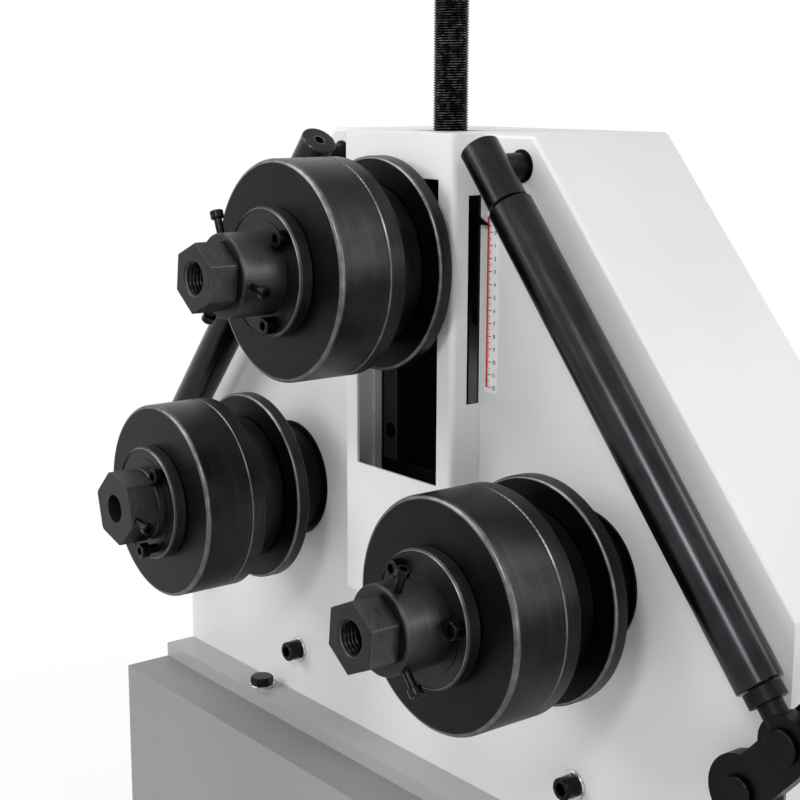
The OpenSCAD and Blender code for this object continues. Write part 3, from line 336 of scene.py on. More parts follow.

# %% Rounding helper
# The rounds go to this slot; where it gets a brighter material, that is wear and painted highlight.
EDGE_SLOT = 1
SAME_POINT = 0.01 * MM
FLAT_ANGLE = math.radians(0.6)
SHARP_ANGLE = math.radians(28)


def rounded_copy(node, body, widths):
    """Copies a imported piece, rounds its sharp edges and puts the copy in its place.

    widths lists (width in mm, segments, test of an edge's two ends); the first test that holds wins.
    """
    source = nodes[node]
    mesh = bpy.data.meshes.new(node + "_finished")
    work = bmesh.new()
    work.from_mesh(source.data)
    bmesh.ops.remove_doubles(work, verts=work.verts, dist=SAME_POINT)
    bmesh.ops.dissolve_limit(work, angle_limit=FLAT_ANGLE, verts=work.verts, edges=work.edges)
    claimed = set()
    for width, segments, test in widths:
        chosen = [
            edge for edge in work.edges
            if edge.is_valid and edge.is_manifold and edge not in claimed
            and edge.calc_face_angle(0) > SHARP_ANGLE
            and test(edge.verts[0].co / MM, edge.verts[1].co / MM)
        ]
        result = bmesh.ops.bevel(
            work, geom=chosen, offset=width * MM, segments=segments, profile=0.5,
            affect="EDGES", clamp_overlap=True
        )
        for face in result["faces"]:
            face.material_index = EDGE_SLOT
            claimed.update(face.edges)
    for face in work.faces:
        face.smooth = True
    mesh.materials.clear()
    work.to_mesh(mesh)
    work.free()
    even_normals(mesh)
    piece = bpy.data.objects.new(node + "_finished", mesh)
    scene.collection.objects.link(piece)
    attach(piece, body)
    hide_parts(node)
    return piece


def every_edge(width, segments=2):
    """One width in mm for all the sharp edges of a piece."""
    return [(width, segments, lambda a, b: True)]


print("edges sharper than", round(math.degrees(SHARP_ANGLE)), "degrees are rounded")

# %% [markdown]
# ## White body
# The body is a house-shaped box of welded plate. Its long outside corners were ground to a radius
# of about four millimetres before painting, and the rims of its holes were only deburred. The
# column on its front is one folded sheet with thin edges, and the gear cover behind is a box of
# thicker sheet. A test by place tells the long corners of the body from all its other edges.

# %% White body, column and gear cover
BODY_LOW, BODY_HIGH = [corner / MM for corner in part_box("body_housing")]
HALF_FOOT = 381
HALF_TOP = 124.5
SHOULDER = BODY_LOW.z + 229
NUT_OPENING = 30
NEAR = 0.5
NEAR_SIDE = 0.6
CORNER_ROUND = 4.0


def on_house(p):
    """True for a point in mm on the house shape's outline, its foot apart."""
    if p.z < BODY_LOW.z + 1:
        return False
    half = HALF_FOOT
    if p.z > SHOULDER + NEAR:
        half -= (p.z - SHOULDER) * (HALF_FOOT - HALF_TOP) / (BODY_HIGH.z - SHOULDER)
    return abs(abs(p.x) - half) < NEAR_SIDE or p.z > BODY_HIGH.z - NEAR


def long_corner(a, b):
    """True for an edge along the outline, not for holes and not for the spindle nut's opening."""
    at_nut = max(abs(a.x), abs(b.x)) < NUT_OPENING and min(a.z, b.z) > BODY_HIGH.z - NEAR
    return on_house(a) and on_house(b) and not at_nut


body_widths = [(CORNER_ROUND, 4, long_corner)] + every_edge(0.7)
body = rounded_copy("body_housing", "frame", body_widths)
column = rounded_copy("front_column", "frame", every_edge(0.5))
cover = rounded_copy("gear_cover", "frame", every_edge(1.2, 3))
print("white pieces:", [(o.name, len(o.data.polygons)) for o in (body, column, cover)])

# %% [markdown]
# ## Cabinet and base plate
# The cabinet is folded sheet, so its edges turn on a radius of two or three millimetres. The base
# plate is thick plate with a filed edge, which shows in the picture as a thin pale line.

# %% Grey pieces
cabinet = rounded_copy("cabinet", "frame", every_edge(2.5, 3))
feet = rounded_copy("cabinet_feet", "frame", every_edge(0.8))
rear_cover = rounded_copy("cabinet_rear_cover", "frame", every_edge(0.6))
base = rounded_copy("base_plate", "frame", every_edge(0.9))
print("grey pieces:", [(o.name, len(o.data.polygons)) for o in (cabinet, feet, rear_cover, base)])

# %% [markdown]
# ## Edges of the steel pieces
# Milled and sawn steel gets its edges broken with a file or a fine chamfer tool, from 0.15 mm on the
# sheet of the pointer to 0.8 mm on the arms. The turned pieces need none of this, because their
# chamfers are already in the solid model. One table holds each piece's slot, body and width in mm.

# %% Steel pieces with broken edges
STEEL_PIECES = {
    "guide_rail_left": ("dark_steel", "frame", 0.6),
    "guide_rail_right": ("dark_steel", "frame", 0.6),
    "stop_bar": ("dark_steel", "frame", 0.6),
    "slide_block": ("dark_steel", "slide", 0.8),
    "pointer": ("dark_steel", "slide", 0.15),
    "upper_nut": ("black_turned_steel", "upper_roll", 0.7),
    "right_nut": ("black_turned_steel", "right_roll", 0.7),
    "left_hub": ("black_turned_steel", "left_roll", 0.5),
    "left_side_arm": ("dark_steel", "left_arm", 0.8),
    "right_side_arm": ("dark_steel", "right_arm", 0.8),
    "spindle_nut": ("bronze", "frame", 0.5),
    "gearmotor": ("motor_paint", "frame", 0.8),
    "upper_hub_screws": ("black_screws", "upper_roll", 0.3),
    "left_hub_screws": ("black_screws", "left_roll", 0.3),
    "right_hub_screws": ("black_screws", "right_roll", 0.3),
    "front_cap_screws": ("black_screws", "frame", 0.4),
    "base_plate_bolts": ("black_screws", "frame", 0.4),
    "left_strut_head": ("dark_steel", "frame", 0.6),
    "right_strut_head": ("dark_steel", "frame", 0.6),
}
steel = {
    name: rounded_copy(name, rides, every_edge(width))
    for name, (slot, rides, width) in STEEL_PIECES.items()
}
print("steel pieces with broken edges:", len(steel))

# %% [markdown]
# ## Powder coat
# The body and the cabinet are powder coated. Powder melts into a tough satin skin with a faint
# orange peel, so the reflection of a lamp breaks into a soft glow, and a big flat face still shows
# that it isn't plastic. The peel has cells of about 0.7 mm. They are drawn at 1.5 mm, because finer
# ones would vanish at this distance. A slow drift of the tone keeps a large face from looking flat.
# Two places stay black, and a box in the object's own space masks the coat there: the slide way,
# which nobody paints because it slides and whose near black is also painted shade of the housing's
# inside, and the cut edges of the pointer's slot, whose black is painted shade of the column's inside.

# %% Powder coat
PEEL = 1.5 * MM
PEEL_DEPTH = 0.05 * MM
DRIFT = 160 * MM
DRIFT_STEPS = 5
COAT_IOR = 1.5
# The slide way stays bare, and its near black is also painted shade of the housing's inside.
SLIDE_WAY = (
    (-67.3 * MM, 67.3 * MM),
    (FRONT + 7.6 * MM, FRONT + 131 * MM),
    (TOP - 330 * MM, TOP - 21.5 * MM),
)
# The slot's cut edges are painted shade: black where the column's inside lies in the dark.
SHADED_SLOT_EDGES = (
    (66.5 * MM, 69.6 * MM),
    (FRONT - 14.5 * MM, FRONT - 0.9 * MM),
    (TOP - 209 * MM, TOP - 46 * MM),
)


def inside_box(tree, place, limits):
    """1 inside a box, which is given by its low and high limits along X, Y and Z."""
    inside = 1.0
    for value, (low, high) in zip(add(tree, "SeparateXYZ", {0: place}).outputs, limits):
        over = maths(tree, "GREATER_THAN", value, low)
        under = maths(tree, "LESS_THAN", value, high)
        inside = maths(tree, "MULTIPLY", inside, maths(tree, "MULTIPLY", over, under))
    return inside


def powder_coat(name, colour, roughness=0.42, shade_and_bare_box=None):
    """Satin powder coat; a box given by its limits stays near black, as bare steel and painted shade.
    """
    material, tree, surface = start_material(name)
    place = add(tree, "TexCoord").outputs["Object"]
    peel = noise(tree, place, PEEL, 1.0)
    drift = noise(tree, place, DRIFT, 2.0)
    tone = ramp(tree, drift, (darker(colour, DRIFT_STEPS), colour), 0.35)
    gloss = remap(tree, drift, 0.0, 1.0, roughness - 0.04, roughness + 0.05)
    dress(tree, surface, 0.0, tone, gloss, relief(tree, peel, 0.12, PEEL_DEPTH))
    surface.inputs["IOR"].default_value = COAT_IOR
    if shade_and_bare_box:
        # Near black for bare steel and for painted shade.
        bare_and_shade = add(tree, "BsdfPrincipled", {"Base Color": linear("#0c0c0d"), "Roughness": 0.7})
        mask = inside_box(tree, place, shade_and_bare_box)
        both = add(tree, "MixShader", {0: mask, 1: surface.outputs[0], 2: bare_and_shade.outputs[0]})
        tree.links.new(both.outputs[0], tree.nodes["Material Output"].inputs["Surface"])
    return material


white_coat = powder_coat("white powder coat", "#dedfe1")
body_coat = powder_coat("white powder coat, uncoated slide way and painted shade", "#dedfe1", shade_and_bare_box=SLIDE_WAY)
column_coat = powder_coat("white powder coat, slot edges in painted shade", "#dedfe1", shade_and_bare_box=SHADED_SLOT_EDGES)
grey_coat = powder_coat("grey powder coat", "#838384")
plate_coat = powder_coat("grey powder coat on plate", "#a4a4a5", 0.38)
print("powder coats:", [m.name for m in (white_coat, body_coat, column_coat, grey_coat, plate_coat)])

# %% Paint the coated pieces


def paint(piece, material, edge=None):
    """Paints a whole piece, and its rounded edges apart where an edge material is given."""
    piece.data.materials.clear()
    piece.data.materials.append(material)
    piece.data.materials.append(edge or material)


paint(body, body_coat)
paint(column, column_coat)
paint(cover, white_coat)
for piece in (cabinet, feet, rear_cover):
    paint(piece, grey_coat)
paint(base, plate_coat)
print("coated pieces:", [o.name for o in (body, column, cover, cabinet, feet, rear_cover, base)])

# %% [markdown]
# ## Turned and blackened steel
# The rollers and hubs are turned from bar and then blackened in a hot salt bath. The black oxide is
# only a micron thick, so the fine rings that the lathe tool left still show through: the roller
# looks black from the front, and shows a soft long highlight where its side turns to the light.
# The rings run round each roll's own axis, so the pattern is laid out in radius, length and angle.
# The tool's feed was about 0.2 mm a turn. The rings are drawn 0.9 mm apart, so that they show.
# The sides carry the stock and get burnished by it, so the surface's own direction picks one of two
# tones: the sides are lighter, partly from that burnish and partly as painted sheen, and the faces
# are darker as painted shade. Hubs and nuts are handled with spanners at each change of rollers, so
# their black is rubbed thinner and looks greyer, and their sides and faces are split the same way.

# %% Turned steel
FEED = 0.9 * MM
RING_DEPTH = 0.03 * MM
RING_BREAKS = 0.9
STAIN = 24 * MM
STAIN_SHARE = 0.45
SIDE_UP_TO = 0.4
FACE_FROM = 0.8
# Side tones are lighter, partly from burnish and partly as painted sheen; face tones are darker as
# painted shade.
ROLLER_SIDE_BURNISH_AND_SHEEN = ("#29292a", "#3c3c3e")
ROLLER_FACE_SHADED = ("#131314", "#1e1e20")
HUB_SIDE_SHEEN = ("#3b3b3d", "#555558")
HUB_FACE_SHADED = ("#232324", "#333335")
# Edge tones: rubbed wear and painted highlight on the rounds of nuts, hubs and strut heads.
EDGE_TONES = ("#39393b", "#515153")


def lathe_rings(tree, place, axis):
    """Noise drawn out to rings: fine in radius and length, and slow in angle."""
    xyz = add(tree, "SeparateXYZ", {0: place}).outputs
    across = maths(tree, "SUBTRACT", xyz[0], axis.x)
    height = maths(tree, "SUBTRACT", xyz[2], axis.z)
    laid = add(tree, "CombineXYZ", {
        0: maths(tree, "MULTIPLY", distance(tree, across, height), 1 / FEED),
        1: maths(tree, "MULTIPLY", xyz[1], 1 / FEED),
        2: maths(tree, "MULTIPLY", maths(tree, "ARCTAN2", height, across), RING_BREAKS),
    })
    return noise(tree, laid.outputs[0], 1.0, 2.0)


def turned_steel(name, axis, side, face, roughness=0.38):
    """Turned steel about an axis along Y, with a pair of tones for its side and one for its face; a
    lighter side pair is painted sheen and a darker face pair painted shade.
    """
    material, tree, surface = start_material(name)
    coordinates = add(tree, "TexCoord").outputs
    rings = lathe_rings(tree, coordinates["Object"], axis)
    mixed = blend(tree, STAIN_SHARE, rings, noise(tree, coordinates["Object"], STAIN, 3.0))
    along = add(tree, "SeparateXYZ", {0: coordinates["Normal"]}).outputs[1]
    # The surface's direction in object space mixes from painted sheen on the sides to painted shade on
    # the faces.
    sheen_to_shade = remap(tree, maths(tree, "ABSOLUTE", along), SIDE_UP_TO, FACE_FROM)
    tones = {0: sheen_to_shade, 6: ramp(tree, mixed, side, 0.32), 7: ramp(tree, mixed, face, 0.32)}
    tone = add(tree, "Mix", tones, data_type="RGBA").outputs[2]
    gloss = remap(tree, mixed, 0.0, 1.0, roughness - 0.08, roughness + 0.12)
    dress(tree, surface, 1.0, tone, gloss, relief(tree, rings, 0.14, RING_DEPTH))
    return material


# Rounds of nuts, hubs and strut heads: rubbed wear and painted highlight.
rubbed_and_highlit_edge = turned_steel("turned edge of wear and painted highlight", ROLLS["left"], EDGE_TONES, EDGE_TONES, 0.3)
turned = {
    side: turned_steel("turned black steel, " + side + " roll", axis, ROLLER_SIDE_BURNISH_AND_SHEEN, ROLLER_FACE_SHADED)
    for side, axis in ROLLS.items()
}
handled = {
    side: turned_steel("handled hub steel, " + side + " roll", axis, HUB_SIDE_SHEEN, HUB_FACE_SHADED, 0.4)
    for side, axis in ROLLS.items()
}
print("turned steels:", 1 + len(turned) + len(handled))

# %% Paint the rolls
turned_pieces = []
for side in ROLLS:
    for part in ("wide_roller", "narrow_roller", "rear_roller", "hub", "shaft", "nut"):
        name = side + "_" + part
        material = handled[side] if part in ("hub", "nut") else turned[side]
        if name in steel:
            paint(steel[name], material, rubbed_and_highlit_edge)
        elif name in nodes:
            paint(nodes[name], material)
        else:
            continue
        turned_pieces.append(name)
print("turned pieces:", len(turned_pieces))

# %% [markdown]
# ## Ground, drawn and blackened steel
# The slide, the rails, the bearings and the arms are plain carbon steel, ground or milled and
# blackened. The grinding leaves no rings but a short even grain. The strut tubes are drawn over a
# mandrel, which leaves long faint lines and a harder shine down the tube, and their heads are cut
# from drawn bar. The same noise does both: for the tubes it is drawn out along the strut's slant.

# %% Ground steel and drawn tube
GRAIN = 1.2 * MM
GRAIN_DEPTH = 0.02 * MM
HEAT_STAIN = 30 * MM
TUBE_LEAN = math.radians(40.431)
DRAWN_OUT = 20


def ground_steel(name, tones=("#151516", "#232325"), roughness=0.42, stretch=1, lean=0.0):
    """Ground steel, its grain drawn out by stretch along an axis that leans from the vertical."""
    material, tree, surface = start_material(name)
    place = add(tree, "TexCoord").outputs["Object"]
    settings = {0: place, "Rotation": (0, lean, 0), "Scale": (1, 1, stretch)}
    laid = add(tree, "Mapping", settings, vector_type="TEXTURE").outputs[0]
    fine = noise(tree, laid, GRAIN, 2.0)
    mixed = blend(tree, 0.5, fine, noise(tree, place, HEAT_STAIN, 3.0))
    gloss = remap(tree, mixed, 0.0, 1.0, roughness - 0.08, roughness + 0.1)
    dress(tree, surface, 1.0, ramp(tree, mixed, tones), gloss, relief(tree, fine, 0.1, GRAIN_DEPTH))
    return material


ground = ground_steel("ground black steel")
oiled = ground_steel("oiled slide steel", ("#0d0d0e", "#19191a"), 0.5)
rail_steel = ground_steel("ground rail steel", ("#48484a", "#5c5c5e"), 0.4)
drawn_tube = {
    side: ground_steel(
        "drawn black tube, " + side, ("#232325", "#353537"), 0.24, DRAWN_OUT, turn * TUBE_LEAN
    )
    for side, turn in (("left", 1), ("right", -1))
}
print("ground steel:", [m.name for m in (ground, oiled, rail_steel, *drawn_tube.values())])

# %% Paint the slide, the bearings, the arms and the struts
for name in ("slide_bearing", "lower_bearing_left", "lower_bearing_right", "strut_pins", "strut_rods",
             "arm_pivot_pins", "left_strut_eye", "right_strut_eye", "spindle_retainer"):
    paint(nodes[name], ground)
for name in ("pointer", "left_side_arm", "right_side_arm"):
    paint(steel[name], ground)
for name in ("guide_rail_left", "guide_rail_right"):
    paint(steel[name], rail_steel)
for name in ("stop_bar", "slide_block"):
    paint(steel[name], oiled)
for side, tube_steel in drawn_tube.items():
    paint(steel[side + "_strut_head"], tube_steel, rubbed_and_highlit_edge)
    paint(nodes[side + "_strut_tube"], tube_steel)
print("painted: slide, rails, bearings, arms and struts")

# %% [markdown]
# ## Small parts
# Screws are alloy steel with a black oxide finish, washers are zinc plated, the gears are milled
# and bare, the spindle's nut is bronze, the motor is enamelled, and the handwheel is cast iron
# under glossy black paint with a moulded plastic grip. Seen from here they differ in colour and
# shine and hardly in pattern, so one recipe with a cloudy noise serves them all.

# %% Finishes of the small parts
CLOUD_DEPTH = 0.03 * MM


def plain_finish(name, tones, roughness, grain=3 * MM, metallic=1.0):
    """An even finish with a faint cloud in its tone, its shine and its relief."""
    material, tree, surface = start_material(name)
    cloud = noise(tree, add(tree, "TexCoord").outputs["Object"], grain, 3.0)
    gloss = remap(tree, cloud, 0.0, 1.0, roughness - 0.06, roughness + 0.08)
    bumps = relief(tree, cloud, 0.15, CLOUD_DEPTH)
    dress(tree, surface, metallic, ramp(tree, cloud, tones), gloss, bumps)
    return material


black_oxide = plain_finish("black oxide screws", ("#161617", "#262628"), 0.3)
zinc = plain_finish("zinc plate", ("#b4b6b8", "#dcdde0"), 0.28)
milled = plain_finish("milled gear steel", ("#77777a", "#9a9a9e"), 0.35)
bronze = plain_finish("oily bronze", ("#4a4238", "#665c4c"), 0.4)
# Bright steel for rims, screw edges and strut head ends: partly wear, partly painted highlight.
wear_and_highlight = plain_finish("bright steel of wear and painted highlight", ("#4c4c4e", "#68686b"), 0.34, 9 * MM)
enamel = plain_finish("motor enamel", ("#4c5054", "#585c61"), 0.38, 2 * MM, 0.0)
gloss_paint = plain_finish("gloss black paint", ("#0e0e0f", "#161617"), 0.16, 6 * MM, 0.0)
moulded = plain_finish("moulded black plastic", ("#101011", "#19191a"), 0.3, 1.4 * MM, 0.0)
strip_print = plain_finish("printed white strip", ("#eeeeee", "#f6f6f6"), 0.45, 12 * MM, 0.0)
print("finishes of small parts:", [m.name for m in (black_oxide, zinc, milled, bronze, wear_and_highlight)])

# %% Paint the small parts
for name in STEEL_PIECES:
    if STEEL_PIECES[name][0] == "black_screws":
        # Screw edges get the bright steel of wear and painted highlight.
        paint(steel[name], black_oxide, wear_and_highlight)
paint(steel["spindle_nut"], bronze)
paint(steel["gearmotor"], enamel)
SMALL_PARTS = {
    "plain_washers": zinc,
    "cover_screws": zinc,
    "left_gear": milled,
    "right_gear": milled,
    "drive_pinion": milled,
    "handwheel": gloss_paint,
    "handwheel_grip": moulded,
    "scale_strip": strip_print,
}
for name, material in SMALL_PARTS.items():
    paint(nodes[name], material)
print("small parts painted:", len(SMALL_PARTS))

# %% [markdown]
# ## Bright edges
# Black oxide wears off first where the roller touches work, spanners and hands: on the rims. Each
# rim shows as a thin line of bright steel that is wider on the big front rim, partly bare steel from
# that wear and partly a painted highlight where the round catches the light. It could be a mask in
# the material, but a thin turned band laid a few hundredths of a millimetre over the edge is easier
# to see and to move, and it follows the real round of the rim. Each band is a profile of points
# (distance ahead of the front plate, radius), turned round the roll's axis.

# %% Lathe helper
AHEAD = Vector((0, -1, 0))
BEHIND = Vector((0, 1, 0))
RIGHT_OF = Vector((1, 0, 0))
UP = Vector((0, 0, 1))


def lathe(work, origin, axis, profile, segments=128):
    """Turns a profile of (mm along the axis, radius in mm) round an axis through origin."""
    side = axis.orthogonal().normalized()
    other = axis.cross(side)
    angles = [2 * math.pi * s / segments for s in range(segments)]
    spokes = [side * math.cos(a) + other * math.sin(a) for a in angles]
    rings = []
    for along, radius in profile:
        centre = origin + axis * along * MM
        rings.append([work.verts.new(centre + spoke * radius * MM) for spoke in spokes])
    for first, second in zip(rings, rings[1:]):
        for s in range(segments):
            n = (s + 1) % segments
            work.faces.new((first[s], first[n], second[n], second[s])).smooth = True


def new_piece(name, work, material, body):
    """Turns finished mesh work into a piece that rides on a body."""
    mesh = bpy.data.meshes.new(name)
    bmesh.ops.recalc_face_normals(work, faces=work.faces)
    work.to_mesh(mesh)
    work.free()
    mesh.materials.append(material)
    piece = bpy.data.objects.new(name, mesh)
    scene.collection.objects.link(piece)
    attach(piece, body)
    return piece


print("the front looks along", tuple(AHEAD))

# %% Profiles of the bands
SKIN = 0.06
LAP = 0.05
ROUND_STEPS = 5


def round_edge(ahead, radius, size):
    """The quarter round of a rim whose front plane is at ahead and whose outside is at radius."""
    angles = [math.pi / 2 * i / ROUND_STEPS for i in range(ROUND_STEPS + 1)]
    return [
        (ahead - size + (size + SKIN) * math.sin(a), radius - size + (size + SKIN) * math.cos(a))
        for a in angles
    ]


def chamfer_band(ahead, radius, size, front=True):
    """A small chamfer whose end plane is at ahead, on the front of a piece or on its back."""
    if front:
        return [(ahead - size - LAP, radius + SKIN), (ahead + SKIN, radius - size - LAP)]
    return [(ahead - SKIN, radius - size - LAP), (ahead + size + LAP, radius + SKIN)]


print("a round of 3 mm:", [(round(a, 1), round(r, 1)) for a, r in round_edge(0, 84, 3)])

# %% [markdown]
# The distances are those of the roll stack, ahead of the front plate: the rear roller reaches from
# 41 to 53 mm, the boss to 85, the narrow roller to 99, the wide roller to 143, the hub's flange to
# 154.5 and its sleeve to 191. The left hub has a hexagon in place of the sleeve, so it gets no band
# there. Two rims meet at 99 mm, where the wide roller is clamped against the narrow one.

# %% Bright bands on the three rolls
REAR_BACK = 41
REAR_FRONT = 53
NARROW_BACK = 85
NARROW_FRONT = 99
WIDE_FRONT = 143
FLANGE_FRONT = 154.5
SLEEVE_FRONT = 191
ROLLER_RADIUS = 84
FLANGE_RADIUS = 49
SLEEVE_RADIUS = 31.5
RIM_ROUND = 3
REAR_RIM_ROUND = 2.2
FINE_CHAMFER = 0.8
HUB_CHAMFER = 1.5
BANDS = [
    round_edge(WIDE_FRONT, ROLLER_RADIUS, RIM_ROUND),
    round_edge(REAR_FRONT, ROLLER_RADIUS, REAR_RIM_ROUND),
    chamfer_band(NARROW_FRONT, ROLLER_RADIUS, FINE_CHAMFER, front=False),
    chamfer_band(NARROW_FRONT, ROLLER_RADIUS, FINE_CHAMFER),
    chamfer_band(NARROW_BACK, ROLLER_RADIUS, FINE_CHAMFER, front=False),
    chamfer_band(REAR_BACK, ROLLER_RADIUS, FINE_CHAMFER, front=False),
    chamfer_band(FLANGE_FRONT, FLANGE_RADIUS, HUB_CHAMFER),
]
SLEEVE_BAND = chamfer_band(SLEEVE_FRONT, SLEEVE_RADIUS, HUB_CHAMFER)
for side, axis in ROLLS.items():
    work = bmesh.new()
    on_plate = Vector((axis.x, FRONT, axis.z))
    for profile in BANDS if side == "left" else BANDS + [SLEEVE_BAND]:
        lathe(work, on_plate, AHEAD, profile)
    new_piece(side + "_bright_edges", work, wear_and_highlight, side + "_roll")
print("bright bands on", len(ROLLS), "rolls")

# %% [markdown]
# ## Ends of the strut heads
# Each strut head is locked with a set screw in its end. The rim of the end and the lip of the screw's
# hole are bare and bright, and also carry a painted highlight, so two thin turned bands go there, on
# the slanting axis of the strut.

# %% Strut head ends
PIN_ACROSS = 113
PIN_AHEAD = 31.5
PIN_DROP = 23
HEAD_END = 18
HEAD_RADIUS = 15
HEAD_CHAMFER = 0.9
SCREW_LIP = [(HEAD_END + 0.05, 5.3), (HEAD_END + 0.1, 4.5), (HEAD_END - 0.4, 4.45)]
for side, sign in (("left", -1), ("right", 1)):
    pin = Vector((sign * PIN_ACROSS * MM, FRONT - PIN_AHEAD * MM, TOP - PIN_DROP * MM))
    upwards = Vector((-sign * math.sin(TUBE_LEAN), 0, math.cos(TUBE_LEAN)))
    work = bmesh.new()
    lathe(work, pin, upwards, chamfer_band(HEAD_END, HEAD_RADIUS, HEAD_CHAMFER))
    lathe(work, pin, upwards, SCREW_LIP, segments=48)
    new_piece(side + "_strut_head_edges", work, wear_and_highlight, "frame")
    print(side, "strut pin at", tuple(round(c, 4) for c in pin))

# %% [markdown]
# ## Threads in the clamping nuts
# Each nut is open in front, so the turns of its thread show as fine rings in the bore. The thread is
# M24 with a pitch of 3 mm. A helical sweep is the true way to cut it: one spiral of vertices is
# written for each corner of the profile, and neighbouring spirals are joined with faces.

# %% Helix helper
STEPS_PER_TURN = 40


def helix(work, start, along, spokes, profile, pitch, length):
    """Sweeps a thread's profile of (share of the pitch, radius in mm) along a screw line.

    start is a point on the axis, along is its direction, and two spokes span the circle round it.
    """
    count = int(length / pitch * STEPS_PER_TURN)
    rows = []
    for share, radius in profile:
        row = []
        for step in range(count + 1):
            angle = 2 * math.pi * step / STEPS_PER_TURN
            travel = min(pitch * (step / STEPS_PER_TURN + share), length)
            spoke = spokes[0] * math.cos(angle) + spokes[1] * math.sin(angle)
            row.append(work.verts.new(start + along * travel * MM + spoke * radius * MM))
        rows.append(row)
    for first, second in zip(rows, rows[1:]):
        for step in range(count):
            work.faces.new((first[step], first[step + 1], second[step + 1], second[step])).smooth = True


print("steps in a turn of thread:", STEPS_PER_TURN)

# %% Nut threads
NUT_AHEAD = 191.5
NUT_BORE = 12.0
NUT_CREST = NUT_BORE - 1.1
NUT_PITCH = 3.0
NUT_THREAD_LENGTH = 21.0
nut_profile = [(0.0, NUT_BORE), (0.45, NUT_CREST), (0.55, NUT_CREST), (1.0, NUT_BORE)]
for side in ("upper", "right"):
    start = Vector((ROLLS[side].x, FRONT - NUT_AHEAD * MM, ROLLS[side].z))
    work = bmesh.new()
    helix(work, start, AHEAD, (RIGHT_OF, UP), nut_profile, NUT_PITCH, NUT_THREAD_LENGTH)
    new_piece(side + "_nut_thread", work, black_oxide, side + "_roll")
print("turns of thread in each nut:", NUT_THREAD_LENGTH / NUT_PITCH)

# %% [markdown]
# ## Spindle
# The adjusting spindle is a 28 mm screw with a pitch of 2 mm, blackened, with a plain neck and a
# collar where it hangs in the slide. In the solid model its thread is a plain cylinder. Here it
# becomes a real helix, because its ridges break the outline against the white background. The
# crests are rubbed bright in places and carry painted glints, so the material looks for points that
# are far from the axis, and lets a noise pick some of them.

# %% Steel of the spindle
low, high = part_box("spindle")
spindle_foot = Vector(((low.x + high.x) / 2, (low.y + high.y) / 2, low.z))
CREST = 14.1
CREST_DEPTH = 0.4
WEAR_AND_GLINT_PATCH = 5 * MM
MOST_WEAR_AND_GLINT = 0.8
thread_steel, tree, surface = start_material("cut black thread")
place = add(tree, "TexCoord").outputs["Object"]
xyz = add(tree, "SeparateXYZ", {0: place}).outputs
across = maths(tree, "SUBTRACT", xyz[0], spindle_foot.x)
depth = maths(tree, "SUBTRACT", xyz[1], spindle_foot.y)
crest = remap(tree, distance(tree, across, depth), (CREST - CREST_DEPTH) * MM, CREST * MM)
patches = noise(tree, place, WEAR_AND_GLINT_PATCH, 2.0)
# Bright crests: partly rubbed wear and partly painted glints.
wear_and_glint = remap(tree, patches, 0.45, 0.7, 0.0, MOST_WEAR_AND_GLINT)
shine = maths(tree, "MULTIPLY", crest, wear_and_glint)
tone = ramp(tree, shine, ("#18181a", "#6c6c70"), 0.0)
dress(tree, surface, 1.0, tone, remap(tree, patches, 0.0, 1.0, 0.24, 0.46))
print("spindle stands at", tuple(round(c, 4) for c in spindle_foot))

# %% [markdown]
# The spindle itself is one turned core and one ridge that winds round it. Its lengths are counted
# in mm from the collar's foot: a collar of 8 mm, a neck, the thread, and a plain end on which the
# handwheel sits. The ridge's foot stands a few hundredths of a millimetre off the core, so that the
# two surfaces never lie in each other.

# %% Spindle with its thread
SPINDLE_PITCH = 2.0
COLLAR_RADIUS = 16
COLLAR_LENGTH = 8
NECK_RADIUS = 11
SPINDLE_CHAMFER = 0.8
CORE_RADIUS = 12.7
RIDGE_FOOT = 12.75
RIDGE_SHOULDER = CREST - 0.08
THREAD_LOW = 19.5
NECK_END = THREAD_LOW - 0.6
CORE_START = THREAD_LOW + 0.4
PLAIN_END = 42.5
CLOSED = 0.01
total = (high.z - low.z) / MM
thread_high = total - PLAIN_END
core_end = thread_high + 0.3
core = [
    (0, CLOSED),
    (0, COLLAR_RADIUS - SPINDLE_CHAMFER),
    (SPINDLE_CHAMFER, COLLAR_RADIUS),
    (COLLAR_LENGTH - SPINDLE_CHAMFER, COLLAR_RADIUS),
    (COLLAR_LENGTH, COLLAR_RADIUS - SPINDLE_CHAMFER),
    (COLLAR_LENGTH, NECK_RADIUS),
    (NECK_END, NECK_RADIUS),
    (NECK_END, CORE_RADIUS - 0.5),
    (CORE_START, CORE_RADIUS),
    (thread_high, CORE_RADIUS),
    (core_end, CORE_RADIUS - 0.1),
    (core_end, NECK_RADIUS),
    (total - SPINDLE_CHAMFER, NECK_RADIUS),
    (total, NECK_RADIUS - SPINDLE_CHAMFER),
    (total, CLOSED),
]
ridge = [
    (0.02, RIDGE_FOOT),
    (0.36, RIDGE_SHOULDER),
    (0.46, CREST),
    (0.54, CREST),
    (0.64, RIDGE_SHOULDER),
    (0.98, RIDGE_FOOT),
]
work = bmesh.new()
lathe(work, spindle_foot, UP, core, segments=64)
start = spindle_foot + UP * THREAD_LOW * MM
helix(work, start, UP, (RIGHT_OF, BEHIND), ridge, SPINDLE_PITCH, thread_high - THREAD_LOW)
spindle = new_piece("spindle_with_thread", work, thread_steel, "spindle_and_wheel")
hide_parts("spindle")
print("spindle:", round(total, 1), "mm long")
print("turns of thread:", round((thread_high - THREAD_LOW) / SPINDLE_PITCH))

# %% [markdown]
# ## Weld bead in the column
# Through the window the bead that joins the folded column to the body can be seen on the left. A
# bead laid by hand has a ripple for each small stop of the torch, 2 to 3 mm apart. It is a quarter
# tube whose radius follows that ripple, with a little seeded noise so that no two are alike.

